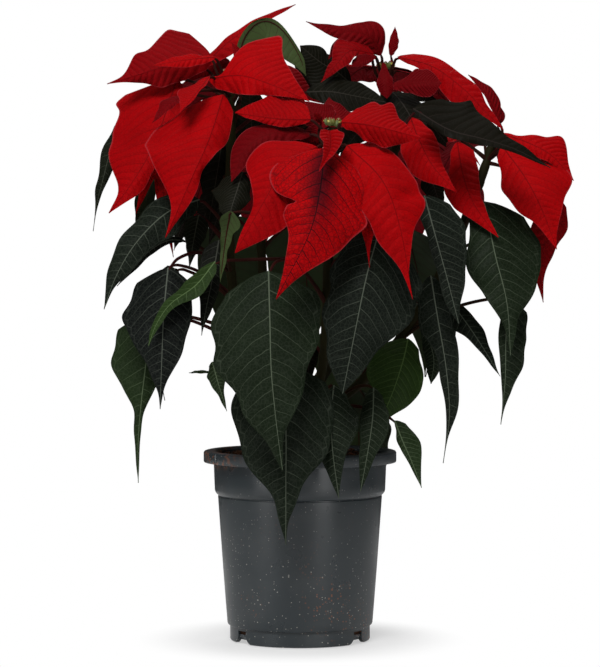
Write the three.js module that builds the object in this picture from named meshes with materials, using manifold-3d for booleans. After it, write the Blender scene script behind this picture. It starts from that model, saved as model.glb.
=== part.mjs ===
// Potted poinsettia: a moulded plastic nursery pot with soil, one woody stem that forks
// low into six shoots, and on each shoot green leaves, a head of red bracts and a small
// cluster of yellow-green flower buds.
//
// Millimetres, +Z up. The origin is the centre of the pot's underside, on the surface
// that the pot stands on. The plant's fullest side faces -Y.

import * as THREE from 'three';
import { mergeVertices } from 'three/addons/utils/BufferGeometryUtils.js';
import Module from 'manifold-3d';

const wasm = await Module();
wasm.setup();

// ---------------------------------------------------------------- driving dimensions

const GAP = 0.3; // clearance between pieces that touch

const POT = {
  height: 127,
  rimRadius: 65,
  rimDrop: 7.5, // height of the lip's skirt
  collarRadius: 58.4, // just under the lip
  collarFootRadius: 57.4,
  collarFoot: 97.4, // height of the step from collar to body
  bodyTopRadius: 55.3,
  bodyFootRadius: 48.8,
  ringRadius: 47.2, // recessed ring that the pot stands on
  ringHeight: 10,
  wall: 1.9,
  lipWall: 2,
  lipRound: 1, // rounding of the lip's outer top edge
  stepHeight: 3, // height over which the collar draws in to the body
  floorTop: 4.5,
  bossRadius: 14, // flat middle of the underside
  footRise: 2.4, // how far the underside lies above the ground between boss and ring
  footWidth: 2.8, // width of the ring's standing face
  segments: 32,
};
const POT_WINDOW = { angles: [35, 145, 215, 325], width: 9, depth: 8, top: 8.4 };
const DRAIN_HOLE = { radius: 3.5, ring: 29, count: 4, sides: 8, length: 8 };

const SOIL = { level: 122, heave: 1.6, crown: 2.2, rings: 6, segments: 26 };
const SOCKET = { x: 0.5, y: -0.4, clearance: 1.6, sides: 16 }; // the hole round the woody stem

const TRUNK = { radius: 5, sides: 8, steps: 4 };
const TRUNK_LINE = [[0, 0, 62], [1, -1, 105], [1, 1, 150], [2, 2, 162]];
const FORK = { radius: 3.9, sides: 6, steps: 2 };
const SHOOT = { radius: 3.2, sides: 6, steps: 7 };
const HUB = { radius: 2.7, sides: 6, steps: 2 };

// Stalks of leaves and bracts. Each leaves its shoot a drop below its blade's base, rises
// by a share of its reach, and ends inside the blade at a place along the midrib.
const STALK = {
  radius: { leaf: 1.3, bract: 1.2 }, sides: 3, steps: 3,
  drop: 22, bend: 0.55, lift: 1 / 7, mostLift: 16, inBlade: 0.12,
};
const LEAST_ABOVE_FORK = 8; // the lowest that a leaf's stalk leaves, over the fork's end
const BRACT_LEVELS = { count: 5, belowTop: 10, aboveHead: 3 };

const BUD = { radius: 2.3, height: 3.9, ring: 3.2, count: 4, stagger: 0.8, lean: 16, turn: 0.3 };

const BLADE_THICKNESS = 0.8;

const COLOURS = {
  pot: { color: 0x353c41, roughness: 0.5 },
  soil: { color: 0x3b2519, roughness: 1 },
  wood: { color: 0x5a5238, roughness: 0.8 },
  leaf: { color: 0x1c3320, roughness: 0.55 },
  bract: { color: 0xb10d14, roughness: 0.6 },
  bud: { color: 0x8a8f2c, roughness: 0.6 },
};

// ---------------------------------------------------------------- shoots and blades

// Each shoot: its centre line from the fork to the flower head, the height at which the
// green leafy stem ends and the head begins, and how far along its first span it leaves
// the woody fork.
const SHOOTS = {
  a: { head: 318, fork: 0.5,
    line: [[0, 0, 138], [9, -24, 158], [16, -44, 196], [18, -58, 250], [20, -70, 298], [21, -77, 340]] },
  b: { head: 352, fork: 0.5,
    line: [[-2, 0, 144], [-26, -6, 168], [-42, -14, 215], [-47, -20, 270], [-46, -22, 330],
      [-46, -20, 376]] },
  c: { head: 362, fork: 0.6,
    line: [[2, 2, 156], [20, 8, 185], [42, 14, 240], [54, 18, 310], [58, 20, 384]] },
  d: { head: 318, fork: 0.35,
    line: [[4, 0, 148], [40, -3, 172], [76, -8, 215], [102, -9, 262], [120, -5, 306], [129, -1, 333]] },
  e: { head: 330, fork: 0.45,
    line: [[-1, 3, 150], [-14, 28, 178], [-24, 58, 225], [-28, 76, 290], [-26, 84, 351]] },
  f: { head: 326, fork: 0.4,
    line: [[2, 3, 160], [22, 30, 190], [46, 60, 235], [62, 80, 300], [68, 90, 346]] },
};

// Blades, one row each: what it is, where the blade starts, where its tip is, its full
// width, and its form. The form's words:
//   face   the way its upper surface looks     arch    rise of the midrib over the chord
//   bow    sideways bend of the midrib         peak    where along it the midrib bends most
//   fold   droop of the left and right half    curl    further roll-down of each half
//   root   how blunt the base is               taper   how long drawn the tip is
//   sides  width of the left and right half    notch   a bite in the margin: side (-1 left),
//   roll   turn about the midrib                       place along, depth, length
//   spine  points that the midrib passes through, in place of its arch and bow
//   edges  half-widths of the left and of the right half at six even steps, in place of
//          root, taper and sides
//   from   height at which its stalk leaves    via     a point that the stalk bends towards
const BRACTS = {
  a: [
    ['centre', [16, -98, 326], [-15, -130, 230], 64, { face: [0, -1, 0.1],
      spine: [[12, -117, 295], [5, -127, 269]],
      edges: [[32, 30.5, 20, 19, 11.5, 5], [27.5, 33.5, 33, 28.5, 18.5, 7]], fold: [8, 12], curl: [12, 16],
      notch: [-1, 0.385, 0.35, 0.035] }],
    ['left', [11, -88, 327], [-41, -106, 259], 46, { face: [-0.2, -1, 0.3],
      spine: [[-9, -100, 315], [-22, -106, 293]],
      edges: [[18, 28, 29, 18, 7.5, 5], [7.5, 12.5, 17, 20.5, 21, 12.5]], curl: [16, 10] }],
    ['right', [30, -88, 328], [71, -112, 230], 43.5, { face: [0.1, -1, 0.3],
      spine: [[52, -104, 305], [63, -112, 275]],
      edges: [[19, 21.5, 20.5, 19, 15.5, 5], [19, 22, 23, 21.5, 8, 1]], fold: [12, 14], curl: [14, 10] }],
    ['inner right', [30, -84, 327], [44, -100, 250], 21, { spine: [[39, -94, 301], [43, -100, 276]],
      edges: [[6.5, 9, 9, 7, 4, 1.5], [7, 11, 12, 10.5, 4, 1]] }],
    ['upper right', [26, -84, 343], [77, -98, 332], 34, { face: [0, -1, 0.5],
      spine: [[42, -93, 341], [59, -97, 337]],
      edges: [[5.5, 9.5, 12, 12.5, 10.5, 5.5], [17.5, 21.5, 21.5, 21.5, 11, 5]], fold: [46, 12],
      curl: [8, 8] }],
    ['upper left', [7, -78, 345], [-42, -68, 350], 27.5, { face: [-0.1, -1, 0.3],
      spine: [[-8, -79, 345], [-25, -76, 347]],
      edges: [[23.5, 23, 22, 20.5, 19.5, 11.5], [3, 4.5, 5, 4.5, 3, 2]], fold: [12, 20], curl: [20, 0] }],
    ['side left', [7, -72, 336], [-44, -80, 305], 22.5, { face: [-0.2, -1, 0.5],
      spine: [[-16, -78, 337], [-34, -80, 327]],
      edges: [[6, 8, 11.5, 13.5, 11.5, 6.5], [5, 8, 9, 9, 6.5, 4]], fold: [20, 18] }],
    ['small folded', [19, -92, 337], [12, -121, 310], 17, { spine: [[19, -108, 325]],
      edges: [[7.5, 7.5, 6.5, 5, 2.5, 1.5], [6.5, 9.5, 8.5, 5.5, 3, 1.5]], fold: [-30, -30] }],
    ['small back', [14, -74, 342], [9, -80, 349], 5, { spine: [[12, -78, 346]],
      edges: [[1, 2.5, 2.5, 2.5, 2.5, 1.5], [1, 2, 2.5, 2.5, 2, 1.5]], fold: [20, 20],
      via: [8, -72, 334] }],
    ['back rising', [26, -62, 341], [19, -40, 362], 30, { face: [0, -0.8, 0.6], spine: [[23, -53, 350]],
      edges: [[10, 14.5, 14.5, 11.5, 8, 3.5], [9, 14.5, 15.5, 13, 9, 4.5]], via: [22, -62, 330] }],
    ['back left', [17, -62, 341], [0, -44, 359], 24, { face: [-0.1, -0.8, 0.6], spine: [[9, -55, 350]],
      edges: [[7.5, 13, 15.5, 15, 12, 6.5], [5, 8, 8.5, 7, 5.5, 2.5]], via: [14, -60, 328] }],
    ['low left', [18, -66, 336], [-2, -62, 327], 18.5, { face: [-0.1, -1, 0.3], spine: [[9, -66, 334]],
      edges: [[6, 9, 10, 9, 7, 4], [5, 8, 8.5, 8, 6, 3.5]] }],
  ],
  b: [
    ['upper left', [-58, -20, 390], [-128, -24, 372], 43.5, { face: [0, -1, 0.45],
      spine: [[-76, -26, 385], [-93, -29, 382], [-110, -28, 377]],
      edges: [[27.5, 32.5, 26.5, 17.5, 15.5, 4], [8.5, 11, 12.5, 11.5, 6.5, 2]], fold: [8, 38],
      curl: [6, 10], via: [-56, -20, 376] }],
    ['small upper left', [-56, -34, 389], [-97, -48, 382], 11, { face: [0, -0.8, 0.6],
      spine: [[-76, -46, 386]], edges: [[3, 5, 5.5, 4.5, 4, 2], [3.5, 5, 5.5, 5, 3.5, 1.5]],
      fold: [10, 16] }],
    ['far left', [-82, -16, 376], [-126, -36, 286], 52.5, { face: [-0.15, -1, 0.3],
      spine: [[-89, -28, 352], [-99, -35, 326], [-112, -38, 304]],
      edges: [[42.5, 37.5, 37.5, 32.5, 22, 4.5], [10, 12, 10.5, 8, 8.5, 4.5]], fold: [12, 16],
      curl: [20, 0] }],
    ['left behind', [-89, -12, 366], [-109, -24, 286], 14.5, { face: [-0.2, -1, 0.3],
      spine: [[-93, -26, 328]], edges: [[6.5, 8, 9, 9, 8.5, 4], [5.5, 6, 5.5, 4, 2.5, 1.5]] }],
    ['front left', [-50, -52, 363], [-86, -86, 269], 56, { face: [-0.1, -1, 0.25],
      spine: [[-58, -73, 334], [-69, -84, 308]],
      edges: [[31.5, 43.5, 45, 40, 25.5, 5], [11, 12.5, 7.5, 5, 6.5, 4]], fold: [10, 34], curl: [20, 0] }],
    ['small front', [-75, -46, 363], [-96, -60, 344], 12, { face: [-0.3, -0.9, 0.5],
      spine: [[-85, -56, 357]], edges: [[5.5, 7.5, 8.5, 7.5, 5, 2], [3, 3.5, 3.5, 3.5, 2.5, 1.5]],
      fold: [20, 20] }],
    ['front curl', [-59, -50, 375], [-77, -80, 349], 17, { face: [-0.3, -1, 0.4], spine: [[-67, -69, 363]],
      edges: [[7.5, 13.5, 15.5, 13, 8.5, 3.5], [1.5, 2, 1.5, 1.5, 1.5, 0.5]], fold: [14, 10] }],
    ['upper right', [-65, -8, 385], [-3, 16, 429], 13, { face: [-0.3, -1, 0.5],
      spine: [[-48, -2, 402], [-27, 6, 417]], edges: [[5.5, 9, 7.5, 5, 3, 2], [4, 4, 4.5, 4, 3, 2]],
      fold: [16, 14] }],
    ['front right', [-60, -40, 374], [6, -74, 357], 49, { face: [0.1, -1, 0.25],
      spine: [[-39, -56, 375], [-18, -68, 368]],
      edges: [[8.5, 12.5, 11.5, 9.5, 6, 2.5], [3.5, 24, 37.5, 25.5, 16.5, 8]], fold: [18, 6],
      curl: [8, 8] }],
    ['hanging behind', [-79, -16, 349], [-84, -26, 257], 12, { spine: [[-91, -25, 310]],
      edges: [[5, 6.5, 6, 5.5, 4, 2], [4, 5.5, 5.5, 4, 3, 1.5]] }],
    ['back', [-51, -4, 378], [-62, 38, 344], 34, { face: [0, 0.6, 1], arch: 12 }],
    ['back left', [-55, -10, 380], [-102, 42, 332], 42, { face: [-0.4, 0.45, 1], arch: 12 }],
    ['folded right', [-40, -30, 380], [-45, -26, 399], 11, { face: [0.3, -1, 0.3], spine: [[-41, -30, 389]],
      edges: [[5, 7.5, 8.5, 8, 6, 3.5], [1.5, 2, 2.5, 2.5, 2, 1.5]], fold: [20, 30],
      via: [-38, -28, 366] }],
    ['right behind', [-39, -2, 379], [16, 16, 362], 38.5, { face: [0.1, -0.8, 0.6],
      spine: [[-21, 1, 377], [-2, 7, 372]], edges: [[8, 12, 12.5, 11, 8.5, 4], [15, 24, 26, 23, 16.5, 7.5]],
      via: [-40, -8, 366] }],
  ],
  c: [
    ['upper left', [55, 8, 394], [4, -8, 415], 24.5, { face: [0, -1, 0.35],
      spine: [[46, -1, 406], [27, -6, 410]], edges: [[9, 15, 9, 6, 2.5, 1], [5.5, 9.5, 9.5, 7.5, 6, 3.5]],
      fold: [12, 16], curl: [10, 0] }],
    ['left', [50, 0, 394], [14, -26, 373], 19, { face: [-0.2, -1, 0.4],
      spine: [[34, -14, 395], [24, -22, 385]], edges: [[10.5, 14, 11, 6.5, 4, 2.5], [3, 5, 6, 6, 4, 2]],
      fold: [12, 14] }],
    ['small left', [51, -4, 392], [34, -18, 384], 9, { spine: [[42, -13, 389]],
      edges: [[2.5, 4, 5, 4.5, 4, 2.5], [2, 3.5, 4, 4, 3.5, 2]] }],
    ['upright', [62, 27, 395], [65, 28, 415], 7, { face: [0, -1, 0.1], spine: [[63, 27, 404]],
      edges: [[2.5, 4, 4.5, 4.5, 3.5, 2], [1.5, 2, 2.5, 2, 2, 1]], via: [66, 33, 384] }],
    ['hanging', [56, -4, 388], [58, -14, 363], 11.5, { face: [0, -1, 0.4], spine: [[57, -12, 375]],
      edges: [[2, 3.5, 5.5, 6, 5.5, 3.5], [2, 3.5, 5, 5.5, 5.5, 3.5]] }],
    ['right', [60, -10, 371], [94, -20, 373], 22, { face: [0, -1, 0.45], spine: [[77, -19, 373]],
      edges: [[3, 5.5, 7, 9, 10, 7.5], [4.5, 8, 11.5, 13, 12, 8.5]] }],
    ['long right', [66, 10, 393], [136, -14, 342], 23.5, { face: [0.1, -0.9, 0.7],
      spine: [[89, 2, 386], [109, -5, 371], [122, -10, 357]],
      edges: [[4, 8, 11.5, 11, 6, 2.5], [10, 11.5, 12, 10.5, 7.5, 4]], fold: [30, 16], curl: [10, 0] }],
    ['right back', [66, 32, 386], [112, 62, 352], 34, { face: [0.5, 0.3, 1], arch: 8 }],
    ['back', [60, 32, 389], [68, 77, 365], 36, { face: [0.1, 0.6, 1], arch: 8 }],
    ['back left', [54, 33, 388], [26, 64, 372], 40, { face: [-0.2, 0.6, 1], arch: 8 }],
    ['left behind', [49, 14, 398], [19, 6, 391], 14.5, { face: [-0.1, -1, 0.3],
      spine: [[36, 10, 403], [25, 7, 400]], edges: [[4.5, 6.5, 6.5, 5, 3, 1.5], [5.5, 8, 8, 7, 4.5, 2.5]],
      via: [48, 14, 383] }],
  ],
  d: [
    ['upright', [135, 9, 349], [114, 12, 381], 11, { face: [0.3, -1, 0.4], spine: [[127, 8, 366]],
      edges: [[4.5, 8, 9, 8.5, 6.5, 4], [1.5, 2, 2, 1.5, 1.5, 0.5]], fold: [18, 18], via: [142, 12, 334] }],
    ['tiny', [134, 13, 346], [136, 15, 360], 4.5, { face: [0.3, -1, 0.2], spine: [[137, 13, 353]],
      edges: [[1, 2, 2.5, 2.5, 2, 1], [1, 1.5, 2, 2, 1.5, 1]], via: [142, 14, 330] }],
    ['upper right', [135, -10, 340], [182, -22, 308], 25, { face: [0.1, -1, 0.5],
      spine: [[153, -19, 333], [168, -23, 324]],
      edges: [[2.5, 5.5, 6.5, 6, 4.5, 2.5], [3.5, 7.5, 13.5, 19, 15, 5]], fold: [20, 12], curl: [0, 10],
      via: [141, -10, 332] }],
    ['front right', [135, -16, 331], [168, -50, 262], 48, { face: [0.1, -1, 0.25],
      spine: [[149, -34, 309], [159, -46, 287]],
      edges: [[10.5, 16.5, 17, 14.5, 8.5, 4], [19, 29.5, 31, 22.5, 12.5, 5]], fold: [12, 12],
      curl: [10, 12] }],
    ['right behind', [171, -8, 299], [162, -20, 227], 24, { face: [0.2, -1, 0.2],
      spine: [[167, -16, 277], [160, -20, 254]],
      edges: [[9.5, 11.5, 12, 9.5, 5.5, 2.5], [11, 12.5, 10, 8, 5.5, 2]] }],
    ['front left', [105, -14, 334], [130, -46, 270], 24.5, { face: [-0.1, -1, 0.4],
      spine: [[108, -30, 311], [115, -40, 291]],
      edges: [[6.5, 10.5, 15, 13.5, 8, 4], [11, 11, 9.5, 7.5, 5.5, 3]] }],
    ['far left', [73, -34, 349], [102, -58, 299], 26, { face: [-0.1, -1, 0.3],
      spine: [[78, -45, 334], [87, -53, 316]],
      edges: [[8, 12, 15, 14.5, 11, 4.5], [7.5, 11, 11, 9, 6, 3]] }],
    ['back', [140, 13, 340], [166, 70, 284], 32, { face: [0.2, 0.6, 1], arch: 12 }],
    ['back left', [124, 9, 342], [96, 43, 312], 34, { face: [-0.4, 0.5, 1], arch: 8 }],
  ],
  e: [
    ['back', [-28, 104, 350], [-30, 154, 254], 58, { face: [0, 1, 0.4], arch: 12, peak: 0.35, taper: 1.2 }],
    ['back left', [-42, 94, 350], [-80, 130, 276], 52, { face: [-0.7, 0.7, 0.5], arch: 12 }],
    ['left', [-42, 79, 350], [-98, 62, 316], 44, { face: [-0.6, -0.2, 1], arch: 12 }],
    ['right', [-12, 96, 350], [14, 148, 270], 46, { face: [0.4, 0.9, 0.5], arch: 10 }],
    ['inner right', [-12, 76, 353], [28, 54, 350], 40, { face: [0.4, -0.2, 1], arch: 7 }],
    ['inner', [-27, 70, 355], [-29, 44, 356], 26, { face: [0, -0.6, 1], arch: 5 }],
  ],
  f: [
    ['back', [72, 108, 345], [84, 160, 252], 56, { face: [0.2, 1, 0.4], arch: 12, peak: 0.35, taper: 1.2 }],
    ['right', [84, 95, 346], [138, 120, 276], 48, { face: [0.8, 0.4, 0.7], arch: 12 }],
    ['back left', [58, 106, 344], [44, 152, 264], 44, { face: [-0.3, 0.9, 0.5], arch: 10 }],
    ['front right', [83, 84, 346], [126, 66, 322], 36, { face: [0.6, -0.2, 1], arch: 9 }],
    ['inner', [55, 94, 351], [25, 105, 352], 30, { face: [-0.6, 0.2, 1], arch: 6 }],
  ],
};

const LEAVES = {
  a: [
    ['big front', [-20, -98, 248], [-11, -122, 123], 72.5, { face: [0, -1, 0.25],
      spine: [[-19, -111, 216], [-18, -119, 185], [-15, -123, 154]],
      edges: [[34, 39, 37, 27.5, 19, 8.5], [34.5, 33.5, 27, 22, 13, 3.5]], fold: [12, 14], curl: [12, 12],
      via: [-7, -84, 269] }],
    ['big right', [50, -82, 271], [27, -104, 170], 65.5, { face: [0.1, -1, 0.3],
      spine: [[42, -97, 243], [34, -104, 205]],
      edges: [[19.5, 25, 22, 22.5, 18, 11.5], [34, 40.5, 38.5, 30, 19, 9.5]], curl: [12, 12] }],
    ['lowest front', [-11, -78, 188], [-9, -104, 74], 67, { face: [0, -1, 0.25],
      spine: [[-9, -94, 146], [-9, -102, 110]],
      edges: [[34.5, 34, 30.5, 21.5, 10, 4], [32.5, 32, 28.5, 17.5, 8, 2.5]], fold: [12, 14],
      curl: [10, 10], from: 168 }],
    ['low right', [22, -66, 174], [25, -84, 102], 23, { spine: [[20, -77, 155], [21, -83, 132]],
      edges: [[3.5, 3.5, 5, 8.5, 8.5, 4.5], [11, 18.5, 18, 14.5, 8.5, 3.5]], fold: [24, 14], from: 152 }],
    ['long left', [-55, -66, 254], [-97, -86, 200], 19, { face: [-0.3, -0.7, 0.6],
      spine: [[-67, -74, 239], [-83, -80, 227], [-92, -84, 214]],
      edges: [[9.5, 11.5, 7.5, 5, 4.5, 2.5], [6, 7.5, 5, 3.5, 3, 1.5]], fold: [16, 20], from: 256,
      via: [-25, -66, 256] }],
    ['curled left', [-37, -70, 312], [-46, -88, 280], 28.5, { face: [-0.1, -1, 0.35],
      spine: [[-40, -80, 301], [-43, -86, 291]],
      edges: [[16, 19, 17.5, 14, 10, 8], [7, 9.5, 10.5, 9, 7.5, 6]], fold: [14, 18], curl: [20, 26] }],
    ['long upper right', [73, -66, 353], [161, -80, 314], 35, { face: [0.1, -1, 0.5],
      spine: [[96, -73, 339], [117, -77, 333], [138, -80, 326]],
      edges: [[4, 5, 4.5, 4, 2.5, 2], [25, 30, 22.5, 13, 7.5, 3.5]], fold: [20, 14], from: 308,
      via: [59, -62, 316] }],
    ['rolled under', [-44, -90, 286], [-51, -84, 241], 15.5, { face: [0.2, 1, 0.1],
      spine: [[-47, -85, 271], [-49, -83, 257]],
      edges: [[9.5, 5.5, 4, 3, 2.5, 1.5], [6, 4, 3.5, 2.5, 2, 1.5]], fold: [26, 26], from: 262 }],
  ],
  b: [
    ['over the top', [-40, -22, 386], [4, -30, 377], 20, { face: [0, 1, 0.3],
      spine: [[-38, -23, 400], [-30, -25, 411], [-19, -26, 413], [-8, -27, 403], [0, -29, 389]],
      edges: [[3, 2.5, 2.5, 2, 2, 2], [11.5, 15.5, 17.5, 17.5, 13.5, 6.5]], from: 340,
      via: [-36, -16, 368] }],
    ['under the centre', [4, -20, 367], [57, -22, 360], 25, { face: [0, -1, 0.5],
      spine: [[20, -25, 367], [37, -25, 364]], edges: [[5.5, 9.5, 12, 12, 9, 5], [8, 14, 13, 13, 12, 9]],
      from: 338, via: [-20, -12, 362] }],
    ['far left', [-121, 4, 351], [-140, 8, 275], 13.5, { face: [-0.2, -1, 0.3],
      spine: [[-127, 1, 332], [-133, 0, 309], [-137, 3, 294]],
      edges: [[4, 6.5, 5, 5, 1.5, 1], [7, 7, 4.5, 2.5, 1.5, 0.5]], fold: [20, 20], from: 332 }],
    ['upper left', [-66, -40, 295], [-127, -66, 223], 28.5, { face: [-0.1, -1, 0.3],
      spine: [[-87, -52, 286], [-106, -60, 267], [-119, -65, 245]],
      edges: [[11.5, 14, 11.5, 10.5, 9, 3.5], [10.5, 14.5, 12, 9, 6, 1.5]], fold: [12, 16], curl: [8, 8] }],
    ['rolled left', [-76, -34, 268], [-120, -46, 238], 6.5, { face: [0.1, -1, 0.4],
      spine: [[-87, -39, 268], [-99, -43, 261], [-109, -45, 250]],
      edges: [[2.5, 3, 3.5, 3.5, 3, 1.5], [2, 2.5, 3, 2.5, 2, 1]], fold: [10, 10] }],
    ['big left', [-86, -56, 250], [-90, -80, 159], 47.5, { face: [-0.1, -1, 0.3],
      spine: [[-88, -71, 221], [-89, -79, 189]],
      edges: [[24, 29.5, 26.5, 18.5, 9, 3], [17.5, 18, 17, 14, 7.5, 2.5]], curl: [10, 10], from: 250,
      via: [-68, -48, 270] }],
    ['lower left', [-99, -34, 219], [-106, -50, 109], 37.5, { face: [-0.1, -1, 0.3],
      spine: [[-101, -42, 191], [-104, -48, 163], [-106, -50, 137]],
      edges: [[24, 24, 15.5, 4, 3.5, 1.5], [13.5, 13, 8, 2.5, 1.5, 1]], from: 205 }],
    ['inner left', [-53, -50, 268], [-64, -62, 206], 15, { face: [0.1, -1, 0.2],
      spine: [[-57, -58, 243], [-61, -62, 223]],
      edges: [[9.5, 9.5, 8.5, 5.5, 3.5, 1.5], [5, 5.5, 5.5, 5, 3, 1]] }],
    ['inner hanging', [-67, -30, 285], [-73, -40, 249], 16, { arch: 4 }],
    ['inner centre', [-50, -4, 355], [-62, -22, 274], 38, { face: [0.2, -1, 0.3], arch: 8, from: 330 }],
    ['small low side', [-57, -30, 181], [-73, -42, 181], 5.5, { face: [-0.2, -0.6, 0.9],
      spine: [[-65, -37, 182]], edges: [[2.5, 3, 3, 2.5, 2, 1], [2, 2.5, 2.5, 2.5, 1.5, 1]] }],
    ['small low', [-58, -34, 188], [-48, -48, 156], 12.5, { spine: [[-54, -44, 175]],
      edges: [[3.5, 6, 5.5, 4.5, 2.5, 1.5], [5, 6.5, 6, 4, 2, 1]] }],
    ['side left upper', [-96, 14, 330], [-110, 24, 252], 36, { face: [-1, 0.2, 0.3], arch: 9, peak: 0.35 }],
    ['side left', [-84, 6, 250], [-92, 14, 160], 48, { face: [-1, 0, 0.3], arch: 9, peak: 0.35 }],
    ['left back', [-92, 44, 330], [-104, 58, 264], 30, { face: [-0.9, 0.4, 0.3], arch: 11, peak: 0.35 }],
    ['left back low', [-92, 55, 252], [-100, 66, 166], 40, { face: [-0.9, 0.5, 0.3], arch: 11, peak: 0.35 }],
    ['left low', [-92, 6, 218], [-106, 10, 160], 30, { face: [-1, 0, 0.3], arch: 11, peak: 0.35,
      from: 196 }],
  ],
  c: [
    ['upper left', [35, 28, 376], [0, 16, 401], 31, { face: [-0.1, -1, 0.5],
      spine: [[25, 21, 384], [14, 17, 390]],
      edges: [[7, 10.5, 11.5, 11, 9.5, 9], [9.5, 16.5, 19.5, 18, 13.5, 8]], fold: [8, 10], curl: [10, 14],
      from: 350, via: [41, 36, 369] }],
    ['inner top', [62, 4, 369], [85, -24, 320], 30, { face: [0.2, -1, 0.6], arch: 8, from: 350 }],
  ],
  d: [
    ['upper front', [81, -56, 297], [102, -80, 214], 27, { face: [0.1, -1, 0.25],
      spine: [[88, -69, 269], [95, -77, 242]],
      edges: [[6.5, 5.5, 5.5, 5.5, 5.5, 4.5], [19, 21.5, 19.5, 15.5, 11, 5]], fold: [22, 12] }],
    ['long front', [86, -42, 245], [93, -64, 123], 22.5,
      { spine: [[90, -53, 217], [95, -61, 185], [97, -64, 154]],
      edges: [[11.5, 12.5, 5.5, 4.5, 2.5, 1], [9.5, 10, 9.5, 8, 5.5, 1]] }],
    ['big far right', [122, -28, 294], [137, -60, 193], 53.5, { face: [0.1, -1, 0.3],
      spine: [[128, -45, 259], [135, -55, 227]],
      edges: [[13.5, 18, 19.5, 14, 8, 2.5], [32.5, 35.5, 32.5, 25, 11.5, 4.5]], curl: [10, 10] }],
    ['low far right', [139, -24, 230], [132, -44, 147], 19.5, { face: [0.1, -1, 0.25],
      spine: [[136, -36, 204], [135, -42, 176]],
      edges: [[4.5, 5, 4.5, 3.5, 2, 0.5], [14.5, 14.5, 13.5, 12, 5.5, 2]] }],
    ['narrow right', [101, -14, 227], [133, -26, 178], 17.5, { face: [0.1, -1, 0.5],
      spine: [[112, -20, 212], [123, -24, 195]],
      edges: [[10.5, 9.5, 6, 4, 2.5, 1.5], [6.5, 8, 8, 6.5, 4, 1.5]] }],
    ['inner right', [72, -22, 203], [51, -44, 145], 41, { face: [0.15, -1, 0.3],
      spine: [[68, -34, 188], [61, -42, 168]],
      edges: [[15, 23, 24, 20, 13.5, 5.5], [10, 14, 17, 18, 13.5, 6]], from: 190 }],
    ['inner narrow', [83, -12, 212], [87, -26, 173], 13, { spine: [[87, -20, 199], [89, -25, 188]],
      edges: [[4, 5.5, 6, 6, 5.5, 3.5], [5.5, 7, 7, 6, 5.5, 3.5]], from: 186 }],
    ['low front', [48, -58, 172], [39, -78, 106], 19.5, { spine: [[47, -70, 153], [44, -76, 133]],
      edges: [[6.5, 8.5, 7.5, 6.5, 5.5, 3], [7.5, 10.5, 12, 9, 5.5, 3]], from: 160 }],
    ['small low', [62, -50, 150], [79, -64, 107], 14, { spine: [[67, -58, 137], [73, -63, 123]],
      edges: [[1.5, 3.5, 3.5, 2.5, 2, 1], [7, 10, 10.5, 9, 5.5, 2.5]], fold: [16, 10], from: 156 }],
    ['side right upper', [116, 24, 296], [148, 42, 230], 36, { face: [0.9, 0.3, 0.4], arch: 10, peak: 0.35 }],
    ['side right', [98, 8, 264], [98, 16, 166], 46, { face: [1, 0, 0.3], arch: 9, peak: 0.35 }],
    ['right back', [122, 40, 268], [146, 46, 180], 40, { face: [0.9, 0.3, 0.3], arch: 11, peak: 0.35 }],
    ['right back low', [80, 48, 228], [88, 64, 174], 32, { face: [0.9, 0.5, 0.3], arch: 11, peak: 0.35,
      from: 172 }],
    ['back low', [42, 44, 166], [54, 62, 84], 36, { face: [0.7, 0.7, 0.3], arch: 11, peak: 0.35,
      from: 162 }],
  ],
  e: [
    ['back upper', [4, 112, 285], [6, 138, 176], 60, { face: [0, 1, 0.35], arch: 11, peak: 0.35 }],
    ['back left upper', [-50, 98, 288], [-42, 126, 172], 54, { face: [-0.4, 0.9, 0.35], arch: 11,
      peak: 0.35 }],
    ['back', [-22, 81, 220], [-26, 108, 102], 60, { face: [-0.3, 1, 0.35], arch: 11, peak: 0.35,
      from: 190 }],
    ['back low', [-22, 58, 168], [-30, 84, 80], 38, { face: [-0.3, 0.9, 0.35], arch: 11, peak: 0.35,
      from: 172 }],
  ],
  f: [
    ['back upper', [73, 93, 280], [90, 115, 172], 58, { face: [0.6, 0.8, 0.35], arch: 11, peak: 0.35 }],
    ['back', [33, 82, 212], [42, 106, 92], 60, { face: [0.4, 0.9, 0.35], arch: 11, peak: 0.35,
      from: 192 }],
    ['back low', [8, 60, 162], [9, 86, 74], 42, { face: [0.1, 1, 0.35], arch: 11, peak: 0.35, from: 178 }],
    ['front left', [61, 64, 358], [27, 44, 324], 19, { face: [0, -1, 0.4],
      spine: [[47, 54, 350], [36, 47, 339]], edges: [[7, 10, 9.5, 8, 5.5, 3], [5.5, 9, 9, 7, 5, 3]],
      from: 318 }],
  ],
};

const PLAIN_FORM = {
  face: [0, -1, 0.3], arch: 8, bow: 0, peak: 0.45, fold: [14, 14], curl: [0, 0],
  root: 0.5, taper: 1.4, sides: [1, 1], notch: null, roll: 0, spine: null, edges: null,
};

// Rows and columns of a blade's surface, by its width: the wide ones show their curl.
const BLADE_GRIDS = [[55, 5, 4], [0, 4, 2]];

const ROW_CROWDING = 1.25; // rows lie closer together towards the base

// ---------------------------------------------------------------- solids and meshes

const radians = THREE.MathUtils.degToRad;

/** A closed triangle geometry as a solid that can be joined and cut. */
function toSolid(geometry) {
  const plain = geometry.clone();
  plain.deleteAttribute('normal');
  plain.deleteAttribute('uv');
  const merged = mergeVertices(plain, 1e-4);
  return new wasm.Manifold(new wasm.Mesh({
    numProp: 3,
    vertProperties: new Float32Array(merged.attributes.position.array),
    triVerts: new Uint32Array(merged.index.array),
  }));
}

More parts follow.
